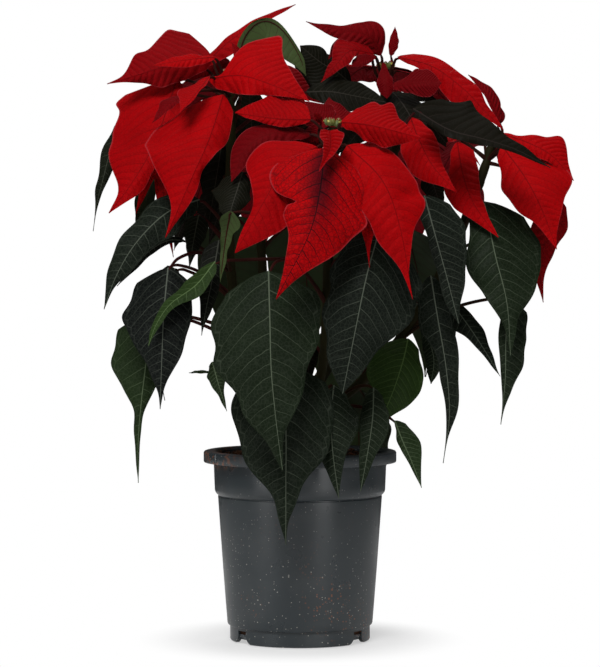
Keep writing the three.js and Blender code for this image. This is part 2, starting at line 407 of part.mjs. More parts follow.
/** A solid as a named mesh with its own material. */
function toMesh(name, solid, finish) {
  const { vertProperties, triVerts } = solid.getMesh();
  const geometry = new THREE.BufferGeometry();
  geometry.setAttribute('position', new THREE.BufferAttribute(vertProperties, 3));
  geometry.setIndex(new THREE.BufferAttribute(triVerts, 1));
  geometry.computeVertexNormals();
  const mesh = new THREE.Mesh(geometry, new THREE.MeshStandardMaterial({ metalness: 0, ...finish }));
  mesh.name = name;
  return mesh;
}

const fuse = (solids) => solids.reduce((whole, next) => whole.add(next));

/** A round bar along a curve. */
function bar(curve, { radius, sides, steps }) {
  const corners = Array.from({ length: sides }, (_, k) => {
    const angle = (2 * Math.PI * k) / sides;
    return new THREE.Vector2(radius * Math.cos(angle), radius * Math.sin(angle));
  });
  return toSolid(new THREE.ExtrudeGeometry(new THREE.Shape(corners), {
    steps, bevelEnabled: false, extrudePath: curve,
  }));
}

const at = ([x, y, z]) => new THREE.Vector3(x, y, z);

const curveThrough = (points) => new THREE.CatmullRomCurve3(points, false, 'catmullrom', 0.5);

/** The stretch of a curve between two parameters, as a curve of its own. */
function stretch(curve, from, to, count) {
  const parameters = Array.from({ length: count }, (_, i) => from + ((to - from) * i) / (count - 1));
  return curveThrough(parameters.map((t) => curve.getPoint(t)));
}

/** The parameter at which a rising curve passes a height. */
function parameterAt(curve, height) {
  let [low, high] = [0, 1];
  for (let i = 0; i < 30; i += 1) {
    const middle = (low + high) / 2;
    if (curve.getPoint(middle).z < height) low = middle;
    else high = middle;
  }
  return (low + high) / 2;
}

// ---------------------------------------------------------------- blades

/**
 * Half-width of a half-blade (0 left, 1 right) at a share u of its midrib. With edges it is
 * a smooth curve through the six widths, otherwise u^root * (1 - u)^taper, full width at its
 * widest place. A notch, a bell-shaped bite, comes off either.
 */
function halfWidth(u, half, width, form) {
  let reach;
  if (form.edges) {
    const steps = [form.edges[half][0] * 0.7, ...form.edges[half], 0];
    const line = steps.map((step) => at([step, 0, 0]));
    reach = new THREE.CatmullRomCurve3(line, false, 'catmullrom', 0.5).getPoint(u).x;
  } else {
    const widest = form.root / (form.root + form.taper);
    const breadth = (u / widest) ** form.root * ((1 - u) / (1 - widest)) ** form.taper;
    reach = (breadth * width * form.sides[half]) / 2;
  }
  if (form.notch && form.notch[0] === (half ? 1 : -1)) {
    const [, place, depth, length] = form.notch;
    reach *= 1 - depth * Math.exp(-(((u - place) / length) ** 2));
  }
  return reach;
}

/**
 * The midrib, a quadratic arc from base to tip or a smooth line through its spine, and at
 * each point of it the blade's sideways direction and the direction its upper face looks.
 */
function midrib(base, tip, form) {
  const chord = tip.clone().sub(base);
  const along = chord.clone().normalize();
  const up = at(form.face).projectOnPlane(along).normalize();
  const side = up.clone().cross(along);
  const control = base.clone().addScaledVector(chord, form.peak)
    .addScaledVector(up, 2 * form.arch).addScaledVector(side, 2 * form.bow);
  const curve = form.spine ? curveThrough([base, ...form.spine.map(at), tip])
    : new THREE.QuadraticBezierCurve3(base, control, tip);
  const frameAt = (u) => {
    const tangent = curve.getTangent(u);
    const across = form.spine ? at(form.face).cross(tangent) : side.clone().projectOnPlane(tangent);
    across.normalize();
    across.applyAxisAngle(tangent, radians(form.roll));
    return { point: curve.getPoint(u), across, normal: tangent.clone().cross(across) };
  };
  return { curve, frameAt };
}

/** Where a half-blade's section lies, at a share v of its half-width, as [out, up]. */
function section(v, fold, curl) {
  const start = radians(fold);
  const turn = Math.max(radians(curl), 1e-3);
  return [
    (Math.sin(start + turn * v) - Math.sin(start)) / turn,
    (Math.cos(start + turn * v) - Math.cos(start)) / turn,
  ];
}

/** A leaf or bract blade: two like faces, a thickness apart, joined by a rim. */
function blade(base, tip, width, form) {
  const [, rows, columns] = BLADE_GRIDS.find(([least]) => width >= least);
  const rib = midrib(base, tip, form);
  const positions = [];
  const addPair = (point, normal) => {
    for (const way of [0.5, -0.5]) {
      positions.push(...point.clone().addScaledVector(normal, way * BLADE_THICKNESS).toArray());
    }
  };
  for (let i = 0; i <= rows; i += 1) {
    const u = (i / rows) ** ROW_CROWDING;
    const { point, across, normal } = rib.frameAt(u);
    if (i === 0 || i === rows) {
      addPair(point, normal);
      continue;
    }
    for (let j = 0; j <= columns; j += 1) {
      const v = (2 * j) / columns - 1;
      const half = v < 0 ? 0 : 1;
      const reach = halfWidth(u, half, width, form);
      const [out, lift] = section(Math.abs(v), form.fold[half], form.curl[half]);
      const slope = radians(form.fold[half] + form.curl[half] * Math.abs(v)) * Math.sign(v);
      const place = point.clone()
        .addScaledVector(across, Math.sign(v) * out * reach)
        .addScaledVector(normal, lift * reach);
      const faceUp = normal.clone().multiplyScalar(Math.cos(slope)).addScaledVector(across, Math.sin(slope));
      addPair(place, faceUp);
    }
  }
  const last = 2 * (1 + (rows - 1) * (columns + 1));
  const corner = (i, j, face) => {
    if (i === 0) return face;
    if (i === rows) return last + face;
    return 2 * (1 + (i - 1) * (columns + 1) + j) + face;
  };
  const indices = [];
  const addTriangle = (a, b, c) => {
    if (a !== b && b !== c && c !== a) indices.push(a, b, c);
  };
  for (let i = 0; i < rows; i += 1) {
    for (let j = 0; j < columns; j += 1) {
      const [p, q, r, s] = [[i, j], [i + 1, j], [i + 1, j + 1], [i, j + 1]];
      addTriangle(corner(...p, 0), corner(...q, 0), corner(...r, 0));
      addTriangle(corner(...p, 0), corner(...r, 0), corner(...s, 0));
      addTriangle(corner(...r, 1), corner(...q, 1), corner(...p, 1));
      addTriangle(corner(...s, 1), corner(...r, 1), corner(...p, 1));
    }
    for (const [j, first, second] of [[0, 0, 1], [columns, 1, 0]]) {
      addTriangle(corner(i, j, first), corner(i, j, second), corner(i + 1, j, second));
      addTriangle(corner(i, j, first), corner(i + 1, j, second), corner(i + 1, j, first));
    }
  }
  const geometry = new THREE.BufferGeometry();
  geometry.setAttribute('position', new THREE.BufferAttribute(new Float32Array(positions), 3));
  geometry.setIndex(indices);
  return { solid: toSolid(geometry), rib };
}

/** A blade with the stalk that carries it from its shoot. */
function stalkedBlade([, baseAt, tipAt, width, options], line, from, radius) {
  const form = { ...PLAIN_FORM, ...options };
  const base = at(baseAt);
  const { solid, rib } = blade(base, at(tipAt), width, form);
  const start = line.getPoint(parameterAt(line, form.from ?? from));
  const lift = Math.min(STALK.mostLift, base.distanceTo(start) * STALK.lift);
  const bend = form.via ? at(form.via) : start.clone().lerp(base, STALK.bend).add(at([0, 0, lift]));
  const stalk = new THREE.QuadraticBezierCurve3(start, bend, base);
  const points = [0, 0.3, 0.6, 0.85, 1].map((t) => stalk.getPoint(t));
  points.push(rib.curve.getPoint(STALK.inBlade));
  return solid.add(bar(curveThrough(points), { ...STALK, radius }));
}

// ---------------------------------------------------------------- the plant's pieces

const lines = Object.fromEntries(Object.entries(SHOOTS).map(
  ([key, { line }]) => [key, curveThrough(line.map(at))],
));

/** Where a shoot's own piece begins: the fork ends here, square to the centre line. */
const forkEnd = (key) => SHOOTS[key].fork / (SHOOTS[key].line.length - 1);

function mainStem() {
  const trunk = bar(curveThrough(TRUNK_LINE.map(at)), TRUNK);
  const forks = Object.keys(SHOOTS).map((key) => bar(stretch(lines[key], 0, forkEnd(key), 6), FORK));
  return toMesh('main_stem', fuse([trunk, ...forks]), COLOURS.wood);
}

function leafyStem(key) {
  const line = lines[key];
  const start = forkEnd(key) + (2 * GAP) / line.getLength();
  const end = parameterAt(line, SHOOTS[key].head);
  const lowest = line.getPoint(start).z + LEAST_ABOVE_FORK;
  const parts = [bar(stretch(line, start, end, 20), SHOOT)];
  for (const row of LEAVES[key]) {
    const from = Math.max(row[1][2] - STALK.drop, lowest);
    parts.push(stalkedBlade(row, line, from, STALK.radius.leaf));
  }
  return toMesh(`leafy_stem_${key}`, fuse(parts), COLOURS.leaf);
}

function bractHead(key) {
  const line = lines[key];
  const { head } = SHOOTS[key];
  const top = line.getPoint(1).z;
  const { count, belowTop, aboveHead } = BRACT_LEVELS;
  const parts = [bar(stretch(line, parameterAt(line, head + GAP * 1.3), 1, 5), HUB)];
  BRACTS[key].forEach((row, index) => {
    const share = (index % count) / (count - 1);
    const from = THREE.MathUtils.lerp(top - belowTop, head + aboveHead, share);
    parts.push(stalkedBlade(row, line, from, STALK.radius.bract));
  });
  return toMesh(`bract_head_${key}`, fuse(parts), COLOURS.bract);
}

/** Flower buds: one in the middle and a ring round it, each a small egg. */
function cyathia(key) {
  const top = lines[key].getPoint(1);
  const lean = new THREE.Quaternion().setFromUnitVectors(at([0, 0, 1]), lines[key].getTangent(1));
  const buds = [];
  for (let k = 0; k <= BUD.count; k += 1) {
    const angle = (2 * Math.PI * k) / BUD.count + BUD.turn;
    const ring = k === BUD.count ? 0 : BUD.ring;
    const egg = new THREE.SphereGeometry(1, 5, 3);
    egg.rotateX(Math.PI / 2);
    egg.scale(BUD.radius, BUD.radius, BUD.height);
    egg.rotateY(ring ? radians(BUD.lean) : 0).rotateZ(angle);
    const lift = BUD.height + GAP + (k % 2) * BUD.stagger;
    egg.translate(ring * Math.cos(angle), ring * Math.sin(angle), lift);
    egg.applyQuaternion(lean).translate(top.x, top.y, top.z);
    buds.push(toSolid(egg));
  }
  return toMesh(`cyathia_${key}`, fuse(buds), COLOURS.bud);
}

// ---------------------------------------------------------------- pot and soil

/** A closed solid turned about the Z axis from a profile of [radius, height] points. */
function turned(profile, segments) {
  const geometry = new THREE.LatheGeometry(profile.map(([r, z]) => new THREE.Vector2(r, z)), segments);
  return toSolid(geometry.rotateX(Math.PI / 2));
}

/** Where a thing stands on a circle about the Z axis. */
const onCircle = (radius, angle) => [radius * Math.cos(angle), radius * Math.sin(angle)];

/** Radius of the pot's inside at its floor, at the foot of its collar and at its lip. */
const INSIDE = {
  floor: POT.bodyFootRadius - POT.wall - 1.1,
  step: POT.bodyTopRadius - POT.wall,
  top: POT.collarRadius - POT.wall,
};

function pot() {
  const P = POT;
  const skirtFoot = P.height - P.rimDrop;
  const underLip = P.height - P.lipWall;
  const collarStep = P.collarFoot + P.stepHeight;
  let solid = turned([
    [0, 0], [P.bossRadius, 0], [P.bossRadius + 1.5, P.footRise],
    [P.ringRadius - P.footWidth - 0.6, P.footRise], [P.ringRadius - P.footWidth, 0], [P.ringRadius, 0],
    [P.ringRadius, P.ringHeight - 1.6], [P.ringRadius - 0.6, P.ringHeight],
    [P.bodyFootRadius, P.ringHeight + 0.4], [P.bodyTopRadius, P.collarFoot - 0.6],
    [P.bodyTopRadius - 0.5, P.collarFoot], [P.collarFootRadius, collarStep],
    [P.collarRadius, underLip], [P.rimRadius - P.lipWall, underLip],
    [P.rimRadius - P.lipWall, skirtFoot], [P.rimRadius, skirtFoot + 0.6],
    [P.rimRadius, P.height - P.lipRound], [P.rimRadius - P.lipRound, P.height],
    [P.collarRadius - 0.8, P.height], [INSIDE.top, P.height - 1.5],
    [INSIDE.step + 2, collarStep], [INSIDE.step, P.collarFoot],
    [INSIDE.floor, P.floorTop], [0, P.floorTop],
  ], P.segments);
  for (const degrees of POT_WINDOW.angles) {
    const angle = radians(degrees);
    const block = new THREE.BoxGeometry(POT_WINDOW.depth, POT_WINDOW.width, 2 * POT_WINDOW.top);
    block.rotateZ(angle).translate(...onCircle(P.ringRadius, angle), 0);
    solid = solid.subtract(toSolid(block));
  }
  for (let k = 0; k < DRAIN_HOLE.count; k += 1) {
    const { radius, length, sides, ring, count } = DRAIN_HOLE;
    const hole = new THREE.CylinderGeometry(radius, radius, 2 * length, sides).rotateX(Math.PI / 2);
    hole.translate(...onCircle(ring, (2 * Math.PI * k) / count), 0);
    solid = solid.subtract(toSolid(hole));
  }
  return toMesh('pot', solid, COLOURS.pot);
}

/** Height of the heaped soil above its level: a low crown with crumbs and hollows. */
function soilHeave(x, y) {
  const far = Math.hypot(x, y) / INSIDE.top;
  const crumbs = Math.sin(x * 0.42 + 1.3) * Math.cos(y * 0.37 - 0.4)
    + 0.6 * Math.sin(x * 0.83 - y * 0.71);
  return SOIL.crown * (1 - far * far) + SOIL.heave * crumbs * Math.min(1, 2.5 * (1 - far));
}

function soil() {
  const collarStep = POT.collarFoot + POT.stepHeight;
  const clear = GAP * 1.4;
  const levelShare = (SOIL.level - collarStep) / (POT.height - collarStep);
  const edge = THREE.MathUtils.lerp(INSIDE.step + 2, INSIDE.top, levelShare) - clear;
  const surface = Array.from({ length: SOIL.rings + 1 },
    (_, i) => [edge * (1 - i / SOIL.rings), SOIL.level]);
  const bottom = POT.floorTop + GAP;
  const geometry = new THREE.LatheGeometry([
    [0, bottom], [INSIDE.floor - clear, bottom], [INSIDE.step - clear, POT.collarFoot],
    [INSIDE.step + 2 - clear, collarStep], ...surface,
  ].map(([r, z]) => new THREE.Vector2(r, z)), SOIL.segments).rotateX(Math.PI / 2);
  const places = geometry.attributes.position;
  for (let i = 0; i < places.count; i += 1) {
    if (places.getZ(i) > SOIL.level - 0.5) {
      const rise = soilHeave(places.getX(i), places.getY(i));
      places.setZ(i, places.getZ(i) + Math.round(rise * 100) / 100);
    }
  }
  const socketLine = new THREE.LineCurve3(
    at([SOCKET.x, SOCKET.y, TRUNK_LINE[0][2] - GAP]), at([SOCKET.x, SOCKET.y, POT.height + 10]),
  );
  const socket = bar(socketLine, {
    radius: TRUNK.radius + SOCKET.clearance, sides: SOCKET.sides, steps: 1,
  });
  return toMesh('soil', toSolid(geometry).subtract(socket), COLOURS.soil);
}

// ---------------------------------------------------------------- assembly

const poinsettia = new THREE.Group();
poinsettia.name = 'potted_poinsettia';
poinsettia.add(pot(), soil(), mainStem());
for (const key of Object.keys(SHOOTS)) {
  poinsettia.add(leafyStem(key), bractHead(key), cyathia(key));
}

export default poinsettia;
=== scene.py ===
# %% [markdown]
# # A potted poinsettia
# The plant is one woody stem that forks into six shoots. Each shoot carries dark green
# leaves on long stalks, a head of red bracts (coloured leaves), and a few small flower
# buds. All of it stands in peat in a plain plastic nursery pot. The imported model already
# holds every piece at its real place and size, with few faces. This lesson builds the
# fine surfaces over it, with numpy, and gives each one a procedural finish.

import bmesh
import bpy
import numpy as np
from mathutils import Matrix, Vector


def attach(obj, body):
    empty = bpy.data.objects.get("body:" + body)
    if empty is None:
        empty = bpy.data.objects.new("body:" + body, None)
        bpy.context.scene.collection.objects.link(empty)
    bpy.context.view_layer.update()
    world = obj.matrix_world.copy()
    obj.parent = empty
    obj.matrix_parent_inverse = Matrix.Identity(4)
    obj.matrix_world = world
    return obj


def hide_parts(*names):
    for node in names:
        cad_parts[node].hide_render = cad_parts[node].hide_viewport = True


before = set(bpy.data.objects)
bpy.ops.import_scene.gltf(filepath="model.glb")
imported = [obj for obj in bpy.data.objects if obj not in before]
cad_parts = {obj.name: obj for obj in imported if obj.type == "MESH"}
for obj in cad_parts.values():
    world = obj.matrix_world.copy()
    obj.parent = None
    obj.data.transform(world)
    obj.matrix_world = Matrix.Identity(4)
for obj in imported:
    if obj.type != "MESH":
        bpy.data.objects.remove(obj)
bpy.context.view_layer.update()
MM = 0.001

# %% [markdown]
# ## Camera, light and floor
# A plant is usually shown from a little over its middle, with a long lens, so that near
# leaves don't swell. The light is plain and soft: a wide softbox high in front, a weak one
# over the top, and three more at the sides and behind. Two tall strips stand low in front
# for the pot alone: they are seen only in reflections, as two long soft bands of shine. The
# room looks white to the camera but gives little light, so the space among the stems stays
# dark. The floor is a pale disc that brightens outwards until it meets the white room.

# %% Camera
CAMERA_PLACE = (0.0, -1.7, 0.243)
LOOK_DOWN = np.radians(1.25)
LENS, SENSOR = 136.1, 36.0

lens = bpy.data.cameras.new("camera")
lens.lens = LENS
lens.sensor_width = SENSOR
camera = bpy.data.objects.new("camera", lens)
camera.location = CAMERA_PLACE
camera.rotation_euler = (np.pi / 2 - LOOK_DOWN, 0, 0)
bpy.context.scene.collection.objects.link(camera)
bpy.context.scene.camera = camera

# %% Softboxes
LIGHT_TARGET = Vector((0.0, 0.0, 0.25))
SOFTBOXES = {  # place in metres, width, height, watts, and whether it gives light, shine or both
    "key": ((-0.35, -1.45, 1.75), 0.9, 0.7, 31, "both"),
    "top": ((0.1, 0.2, 1.5), 1.0, 1.0, 4, "both"),
    "left": ((-1.4, -0.5, 0.6), 0.4, 1.1, 5.0, "light"),
    "right": ((1.5, -0.7, 0.6), 0.45, 1.3, 4, "light"),
    "back": ((0.3, 1.6, 1.1), 1.0, 0.9, 10, "light"),
    "left strip": ((-1.08, -1.02, 0.35), 0.55, 1.3, 6.5, "shine"),
    "right strip": ((0.85, -1.34, 0.30), 0.62, 1.3, 8.5, "shine"),
}
for name, (place, width, height, watts, use) in SOFTBOXES.items():
    light = bpy.data.lights.new(name, "AREA")
    light.shape = "RECTANGLE"
    light.size, light.size_y, light.energy = width, height, watts
    softbox = bpy.data.objects.new(name, light)
    softbox.location = place
    softbox.visible_glossy, softbox.visible_diffuse = use != "light", use != "shine"
    softbox.rotation_euler = (LIGHT_TARGET - softbox.location).to_track_quat("-Z", "Y").to_euler()
    bpy.context.scene.collection.objects.link(softbox)
print("softboxes:", ", ".join(SOFTBOXES))

# %% White room
ROOM_SEEN = 1.0  # brightness of the room where the camera sees it
ROOM_LIGHT = 0.06  # brightness with which it lights the plant

bpy.context.scene.view_settings.view_transform = "Standard"
world = bpy.data.worlds.new("white room")
bpy.context.scene.world = world
world.use_nodes = True
room = world.node_tree
room.nodes.clear()
seen = room.nodes.new("ShaderNodeBackground")
seen.inputs["Strength"].default_value = ROOM_SEEN
lighting = room.nodes.new("ShaderNodeBackground")
lighting.inputs["Strength"].default_value = ROOM_LIGHT
for shade in (seen, lighting):
    shade.inputs["Color"].default_value = (1, 1, 1, 1)
ray = room.nodes.new("ShaderNodeLightPath")
chosen = room.nodes.new("ShaderNodeMixShader")
room.links.new(ray.outputs["Is Camera Ray"], chosen.inputs["Fac"])
room.links.new(lighting.outputs[0], chosen.inputs[1])
room.links.new(seen.outputs[0], chosen.inputs[2])
room_output = room.nodes.new("ShaderNodeOutputWorld")
room.links.new(chosen.outputs[0], room_output.inputs["Surface"])

# %% [markdown]
# ## Surfaces from arrays
# Every piece here is a grid of points: a function of two numbers, worked out for the whole
# grid at once. The same few helpers turn such grids into meshes, close their edges, and
# store values for the materials to read.

# %% Mesh helpers
def unit(vectors):
    """Each vector divided by its own length."""
    return vectors / np.maximum(np.linalg.norm(vectors, axis=-1, keepdims=True), 1e-12)


def grid_quads(rows, columns, wrap=False):
    """Faces of a grid of points: each joins a point, its neighbour in the next row, the
    one diagonal to it and the one in the next column. With wrap, the last column joins
    the first."""
    steps = columns if wrap else columns - 1
    i, j = np.meshgrid(np.arange(rows - 1), np.arange(steps), indexing="ij")
    here, below, right = i * columns, (i + 1) * columns, (j + 1) % columns
    return np.stack([here + j, below + j, below + right, here + right], -1).reshape(-1, 4)


def joined(parts):
    """Several (points, quads, values) parts as one: each part's faces count on from the
    points before it."""
    points, quads, values, count = [], [], [], 0
    for part_points, part_quads, part_values in parts:
        points.append(part_points.reshape(-1, 3))
        quads.append(part_quads + count)
        values.append(part_values)
        count += len(points[-1])
    names = values[0].keys()
    return (np.concatenate(points), np.concatenate(quads),
            {name: np.concatenate([v[name] for v in values]) for name in names})


def close_up(mesh):
    """Merges points that lie on each other, as at a pole, and turns all faces outwards."""
    shell = bmesh.new()
    shell.from_mesh(mesh)
    bmesh.ops.remove_doubles(shell, verts=shell.verts, dist=1e-6)
    bmesh.ops.recalc_face_normals(shell, faces=shell.faces)
    shell.to_mesh(mesh)
    shell.free()


def make_piece(name, part, material, nodes, crease=40):
    """A finished piece of the plant: a mesh in metres at the origin, with its values as
    attributes (three numbers a point) and smooth shading up to the crease angle."""
    points, quads, values = part
    points = points.reshape(-1, 3)
    mesh = bpy.data.meshes.new(name)
    mesh.vertices.add(len(points))
    mesh.vertices.foreach_set("co", points.astype(np.float32).ravel())
    mesh.loops.add(quads.size)
    mesh.loops.foreach_set("vertex_index", quads.astype(np.int32).ravel())
    mesh.polygons.add(len(quads))
    mesh.polygons.foreach_set("loop_start", np.arange(0, quads.size, quads.shape[1], dtype=np.int32))
    mesh.update(calc_edges=True)
    for label, numbers in values.items():
        attribute = mesh.attributes.new(label, "FLOAT_VECTOR", "POINT")
        attribute.data.foreach_set("vector", numbers.astype(np.float32).ravel())
    close_up(mesh)
    mesh.shade_smooth()
    mesh.set_sharp_from_angle(angle=np.radians(crease))
    mesh.materials.append(material)
    made = bpy.data.objects.new(name, mesh)
    bpy.context.scene.collection.objects.link(made)
    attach(made, "root")
    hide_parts(*nodes)
    mesh.calc_loop_triangles()
    print(name, len(mesh.loop_triangles), "triangles")
    return made


# %% [markdown]
# Nothing that grew is quite smooth. A cheap smooth noise is a sum of plane waves with
# seeded directions, each octave half as long and half as high as the one before. It gives
# the same result on every run.

# %% Smooth noise
def wobble(points, size, seed, octaves=3):
    """Noise between about -1 and 1 at points in space: the sum of six sines an octave,
    along random directions, of wavelength size, size/2, size/4 ..."""
    draw = np.random.default_rng(seed)
    total = np.zeros(points.shape[:-1])
    for octave in range(octaves):
        waves = unit(draw.normal(size=(6, 3))) * (2 * np.pi * 2**octave / size)
        phases = draw.uniform(0, 2 * np.pi, 6)
        total += np.sin(points @ waves.T + phases).sum(-1) * 0.5**octave / 4
    return total


# %% [markdown]
# ## Curves
# Stems and stalks follow smooth lines through a few points. A Catmull-Rom curve passes
# through all of them: between two points its slope runs from half the step across the
# first to half the step across the second.

# %% Curve helpers
def curve_through(knots, t):
    """Points of a Catmull-Rom curve at t from 0 to 1, each span taking an equal share."""
    knots = np.asarray(knots, float)
    ends = np.concatenate([[2 * knots[0] - knots[1]], knots, [2 * knots[-1] - knots[-2]]])
    place = np.clip(t, 0, 1) * (len(knots) - 1)
    span = np.minimum(place.astype(int), len(knots) - 2)
    w = (place - span)[:, None]
    before, start, end, after = ends[span], ends[span + 1], ends[span + 2], ends[span + 3]
    slope_start, slope_end = (end - before) / 2, (after - start) / 2
    return (start * (2 * w**3 - 3 * w**2 + 1) + slope_start * (w**3 - 2 * w**2 + w)
            + end * (3 * w**2 - 2 * w**3) + slope_end * (w**3 - w**2))


def tube(path, radii, sides=8):
    """A round tube along a path, with closed ends: rings of points at the path's own
    radii. Each ring's first direction is the one before it, turned square to the path."""
    tangents = unit(np.gradient(path, axis=0))
    first = np.cross(tangents[0], (0.31, 0.87, 0.39))
    directions = np.empty_like(path)
    for i, tangent in enumerate(tangents):
        first = unit(first - tangent * (first @ tangent))
        directions[i] = first
    across = np.cross(tangents, directions)
    angle = np.linspace(0, 2 * np.pi, sides, endpoint=False)[None, :, None]
    ring = np.cos(angle) * directions[:, None] + np.sin(angle) * across[:, None]
    body = path[:, None] + ring * np.asarray(radii)[:, None, None]
    shut = [np.repeat(path[k][None, None], sides, 1) for k in (0, -1)]
    return np.concatenate([shut[0], body, shut[1]]), grid_quads(len(path) + 2, sides, wrap=True)


# %% [markdown]
# ## Node groups
# Materials are wired from small nodes. A short class keeps that readable: an input given
# as a socket is linked, and one given as a number or colour is set on the socket.

# %% Wiring helper
class Wiring:
    """Adds nodes to one node tree and wires them."""

    def __init__(self, tree):
        self.tree = tree

    def put(self, socket, value):
        if isinstance(value, bpy.types.NodeSocket):
            self.tree.links.new(value, socket)
        else:
            socket.default_value = value

    def add(self, kind, inputs=None, **settings):
        node = self.tree.nodes.new(kind)
        for key, value in settings.items():
            setattr(node, key, value)
        for key, value in (inputs or {}).items():
            self.put(node.inputs[key], value)
        return node

    def math(self, operation, *values):
        node = self.add("ShaderNodeMath", operation=operation)
        for socket, value in zip(node.inputs, values):
            self.put(socket, value)
        return node.outputs[0]

    def plus(self, first, second):
        return self.math("ADD", first, second)

    def minus(self, first, second):
        return self.math("SUBTRACT", first, second)

    def times(self, first, second):
        return self.math("MULTIPLY", first, second)

    def larger(self, first, second):
        return self.math("MAXIMUM", first, second)

    def mix(self, share, first, second):
        node = self.add("ShaderNodeMix", data_type="RGBA")
        for index, value in ((0, share), (6, first), (7, second)):
            self.put(node.inputs[index], value)
        return node.outputs[2]

    def ramp(self, value, low, high, to_low=0.0, to_high=1.0):
        """A smooth step: to_low where value is under low, to_high where it is over high."""
        node = self.add("ShaderNodeMapRange", interpolation_type="SMOOTHSTEP")
        for key, number in (("Value", value), ("From Min", low), ("From Max", high),
                            ("To Min", to_low), ("To Max", to_high)):
            self.put(node.inputs[key], number)
        return node.outputs[0]

    def noise(self, scale, detail=3.0, vector=None):
        node = self.add("ShaderNodeTexNoise", {"Scale": scale, "Detail": detail})
        self.put(node.inputs["Vector"], vector or self.object_place())
        return node.outputs["Fac"]

    def object_place(self):
        return self.add("ShaderNodeTexCoord").outputs["Object"]

    def attribute(self, name):
        """The three numbers of a point attribute."""
        node = self.add("ShaderNodeAttribute", attribute_name=name)
        parts = self.add("ShaderNodeSeparateXYZ", {"Vector": node.outputs["Vector"]})
        return parts.outputs[0], parts.outputs[1], parts.outputs[2]


def make_group(name, inputs, outputs):
    """An empty node group with named sockets, its wiring, and its input and output nodes."""
    tree = bpy.data.node_groups.new(name, "ShaderNodeTree")
    for label, kind, value in inputs:
        socket = tree.interface.new_socket(label, in_out="INPUT", socket_type=kind)
        socket.default_value = value
    for label, kind in outputs:
        tree.interface.new_socket(label, in_out="OUTPUT", socket_type=kind)
    wiring = Wiring(tree)
    return wiring, wiring.add("NodeGroupInput").outputs, wiring.add("NodeGroupOutput").inputs


NUMBER, COLOUR = "NodeSocketFloat", "NodeSocketColor"

# %% [markdown]
# ### Veins
# A poinsettia blade has a strong midrib, ten or so side veins on each half that sweep
# towards the tip and link up in loops near the margin, and a fine net between them. Each
# blade carries its own map: how far along it a point is, how far out from the midrib, and
# its length. The side veins are where a count along the blade passes a whole number. The
# count is held back by the distance from the midrib and by its square, so that a vein
# starts off sideways and bends forward. The line could be modelled instead, but a vein is
# half a millimetre wide and would need a million faces.

# %% Vein group
VEIN_STEEPNESS = 0.34  # how far a side vein runs on towards the tip for each step outwards
VEIN_SWEEP = 2.1  # how much it bends forward on its way out
VEIN_CROWDING = 0.40  # how much closer the veins lie at the tip
VEIN_SWAY = 0.035  # how far it strays from that line, as a share of the blade's length
LEAF_VEINS, BRACT_VEINS = 11, 10  # how far the count runs along a blade
OTHER_HALF = 0.4  # the count's head start on one half, so that veins don't meet in pairs

w, given, result = make_group(
    "blade veins",
    [("Count", NUMBER, 9.0), ("Vein Width", NUMBER, 0.5), ("Midrib Width", NUMBER, 1.0),
     ("Net Scale", NUMBER, 420.0)],
    [("Midrib", NUMBER), ("Side Veins", NUMBER), ("Net", NUMBER), ("Pillow", NUMBER), ("Margin", NUMBER)])
along, out, share = w.attribute("blade_map")
length, _, _ = w.attribute("blade_look")
place = w.object_place()
out_size = w.math("ABSOLUTE", out)
reach = w.math("DIVIDE", out_size, length)
bend = w.times(w.math("POWER", reach, 2.0), VEIN_SWEEP)
held = w.minus(along, w.plus(w.times(reach, VEIN_STEEPNESS), bend))
sway = w.times(w.minus(w.noise(70.0, 2.0, place), 0.5), VEIN_SWAY)
held = w.plus(held, sway)
crowded = w.plus(held, w.times(w.math("POWER", held, 3.0), VEIN_CROWDING))
offset = w.times(w.math("GREATER_THAN", out, 0.0), OTHER_HALF)
count_here = w.plus(w.times(crowded, given["Count"]), offset)
from_vein = w.math("ABSOLUTE", w.minus(w.math("FRACT", count_here), 0.5))
step = w.math("DIVIDE", length, given["Count"])
gap_mm = w.times(w.times(from_vein, step), 850.0)
out_mm = w.times(out_size, 1000.0)
width = w.times(given["Vein Width"], w.minus(1.15, w.times(share, 0.75)))
side = w.minus(1.0, w.ramp(gap_mm, w.times(width, 0.3), width))
side = w.times(side, w.ramp(share, 0.80, 0.98, 1.0, 0.0))
side = w.times(side, w.ramp(along, 0.90, 0.99, 1.0, 0.0))
loop_place = w.plus(0.86, w.times(from_vein, 0.16))
loop = w.math("ABSOLUTE", w.minus(share, loop_place))
loop = w.minus(1.0, w.ramp(loop, 0.004, 0.02))
rib_width = w.times(given["Midrib Width"], w.minus(1.1, w.times(along, 0.8)))
midrib = w.minus(1.0, w.ramp(out_mm, w.times(rib_width, 0.3), w.times(rib_width, 0.62)))
cells = w.add("ShaderNodeTexVoronoi", {"Vector": place, "Scale": given["Net Scale"]},
              feature="DISTANCE_TO_EDGE")
net = w.minus(1.0, w.ramp(cells.outputs["Distance"], 0.02, 0.13))
pillow = w.times(w.ramp(from_vein, 0.0, 0.42), w.ramp(out_mm, 0.3, 3.5))
w.put(result["Midrib"], midrib)
w.put(result["Side Veins"], w.larger(side, w.times(loop, 0.45)))
w.put(result["Net"], net)
w.put(result["Pillow"], pillow)
w.put(result["Margin"], w.ramp(share, 0.955, 0.99))
print("vein group:", len(w.tree.nodes), "nodes")

# %% [markdown]
# ### Mottling
# No surface has one even colour. This group pushes any colour lighter and darker in soft
# patches, and each material chooses how large and how strong they are.

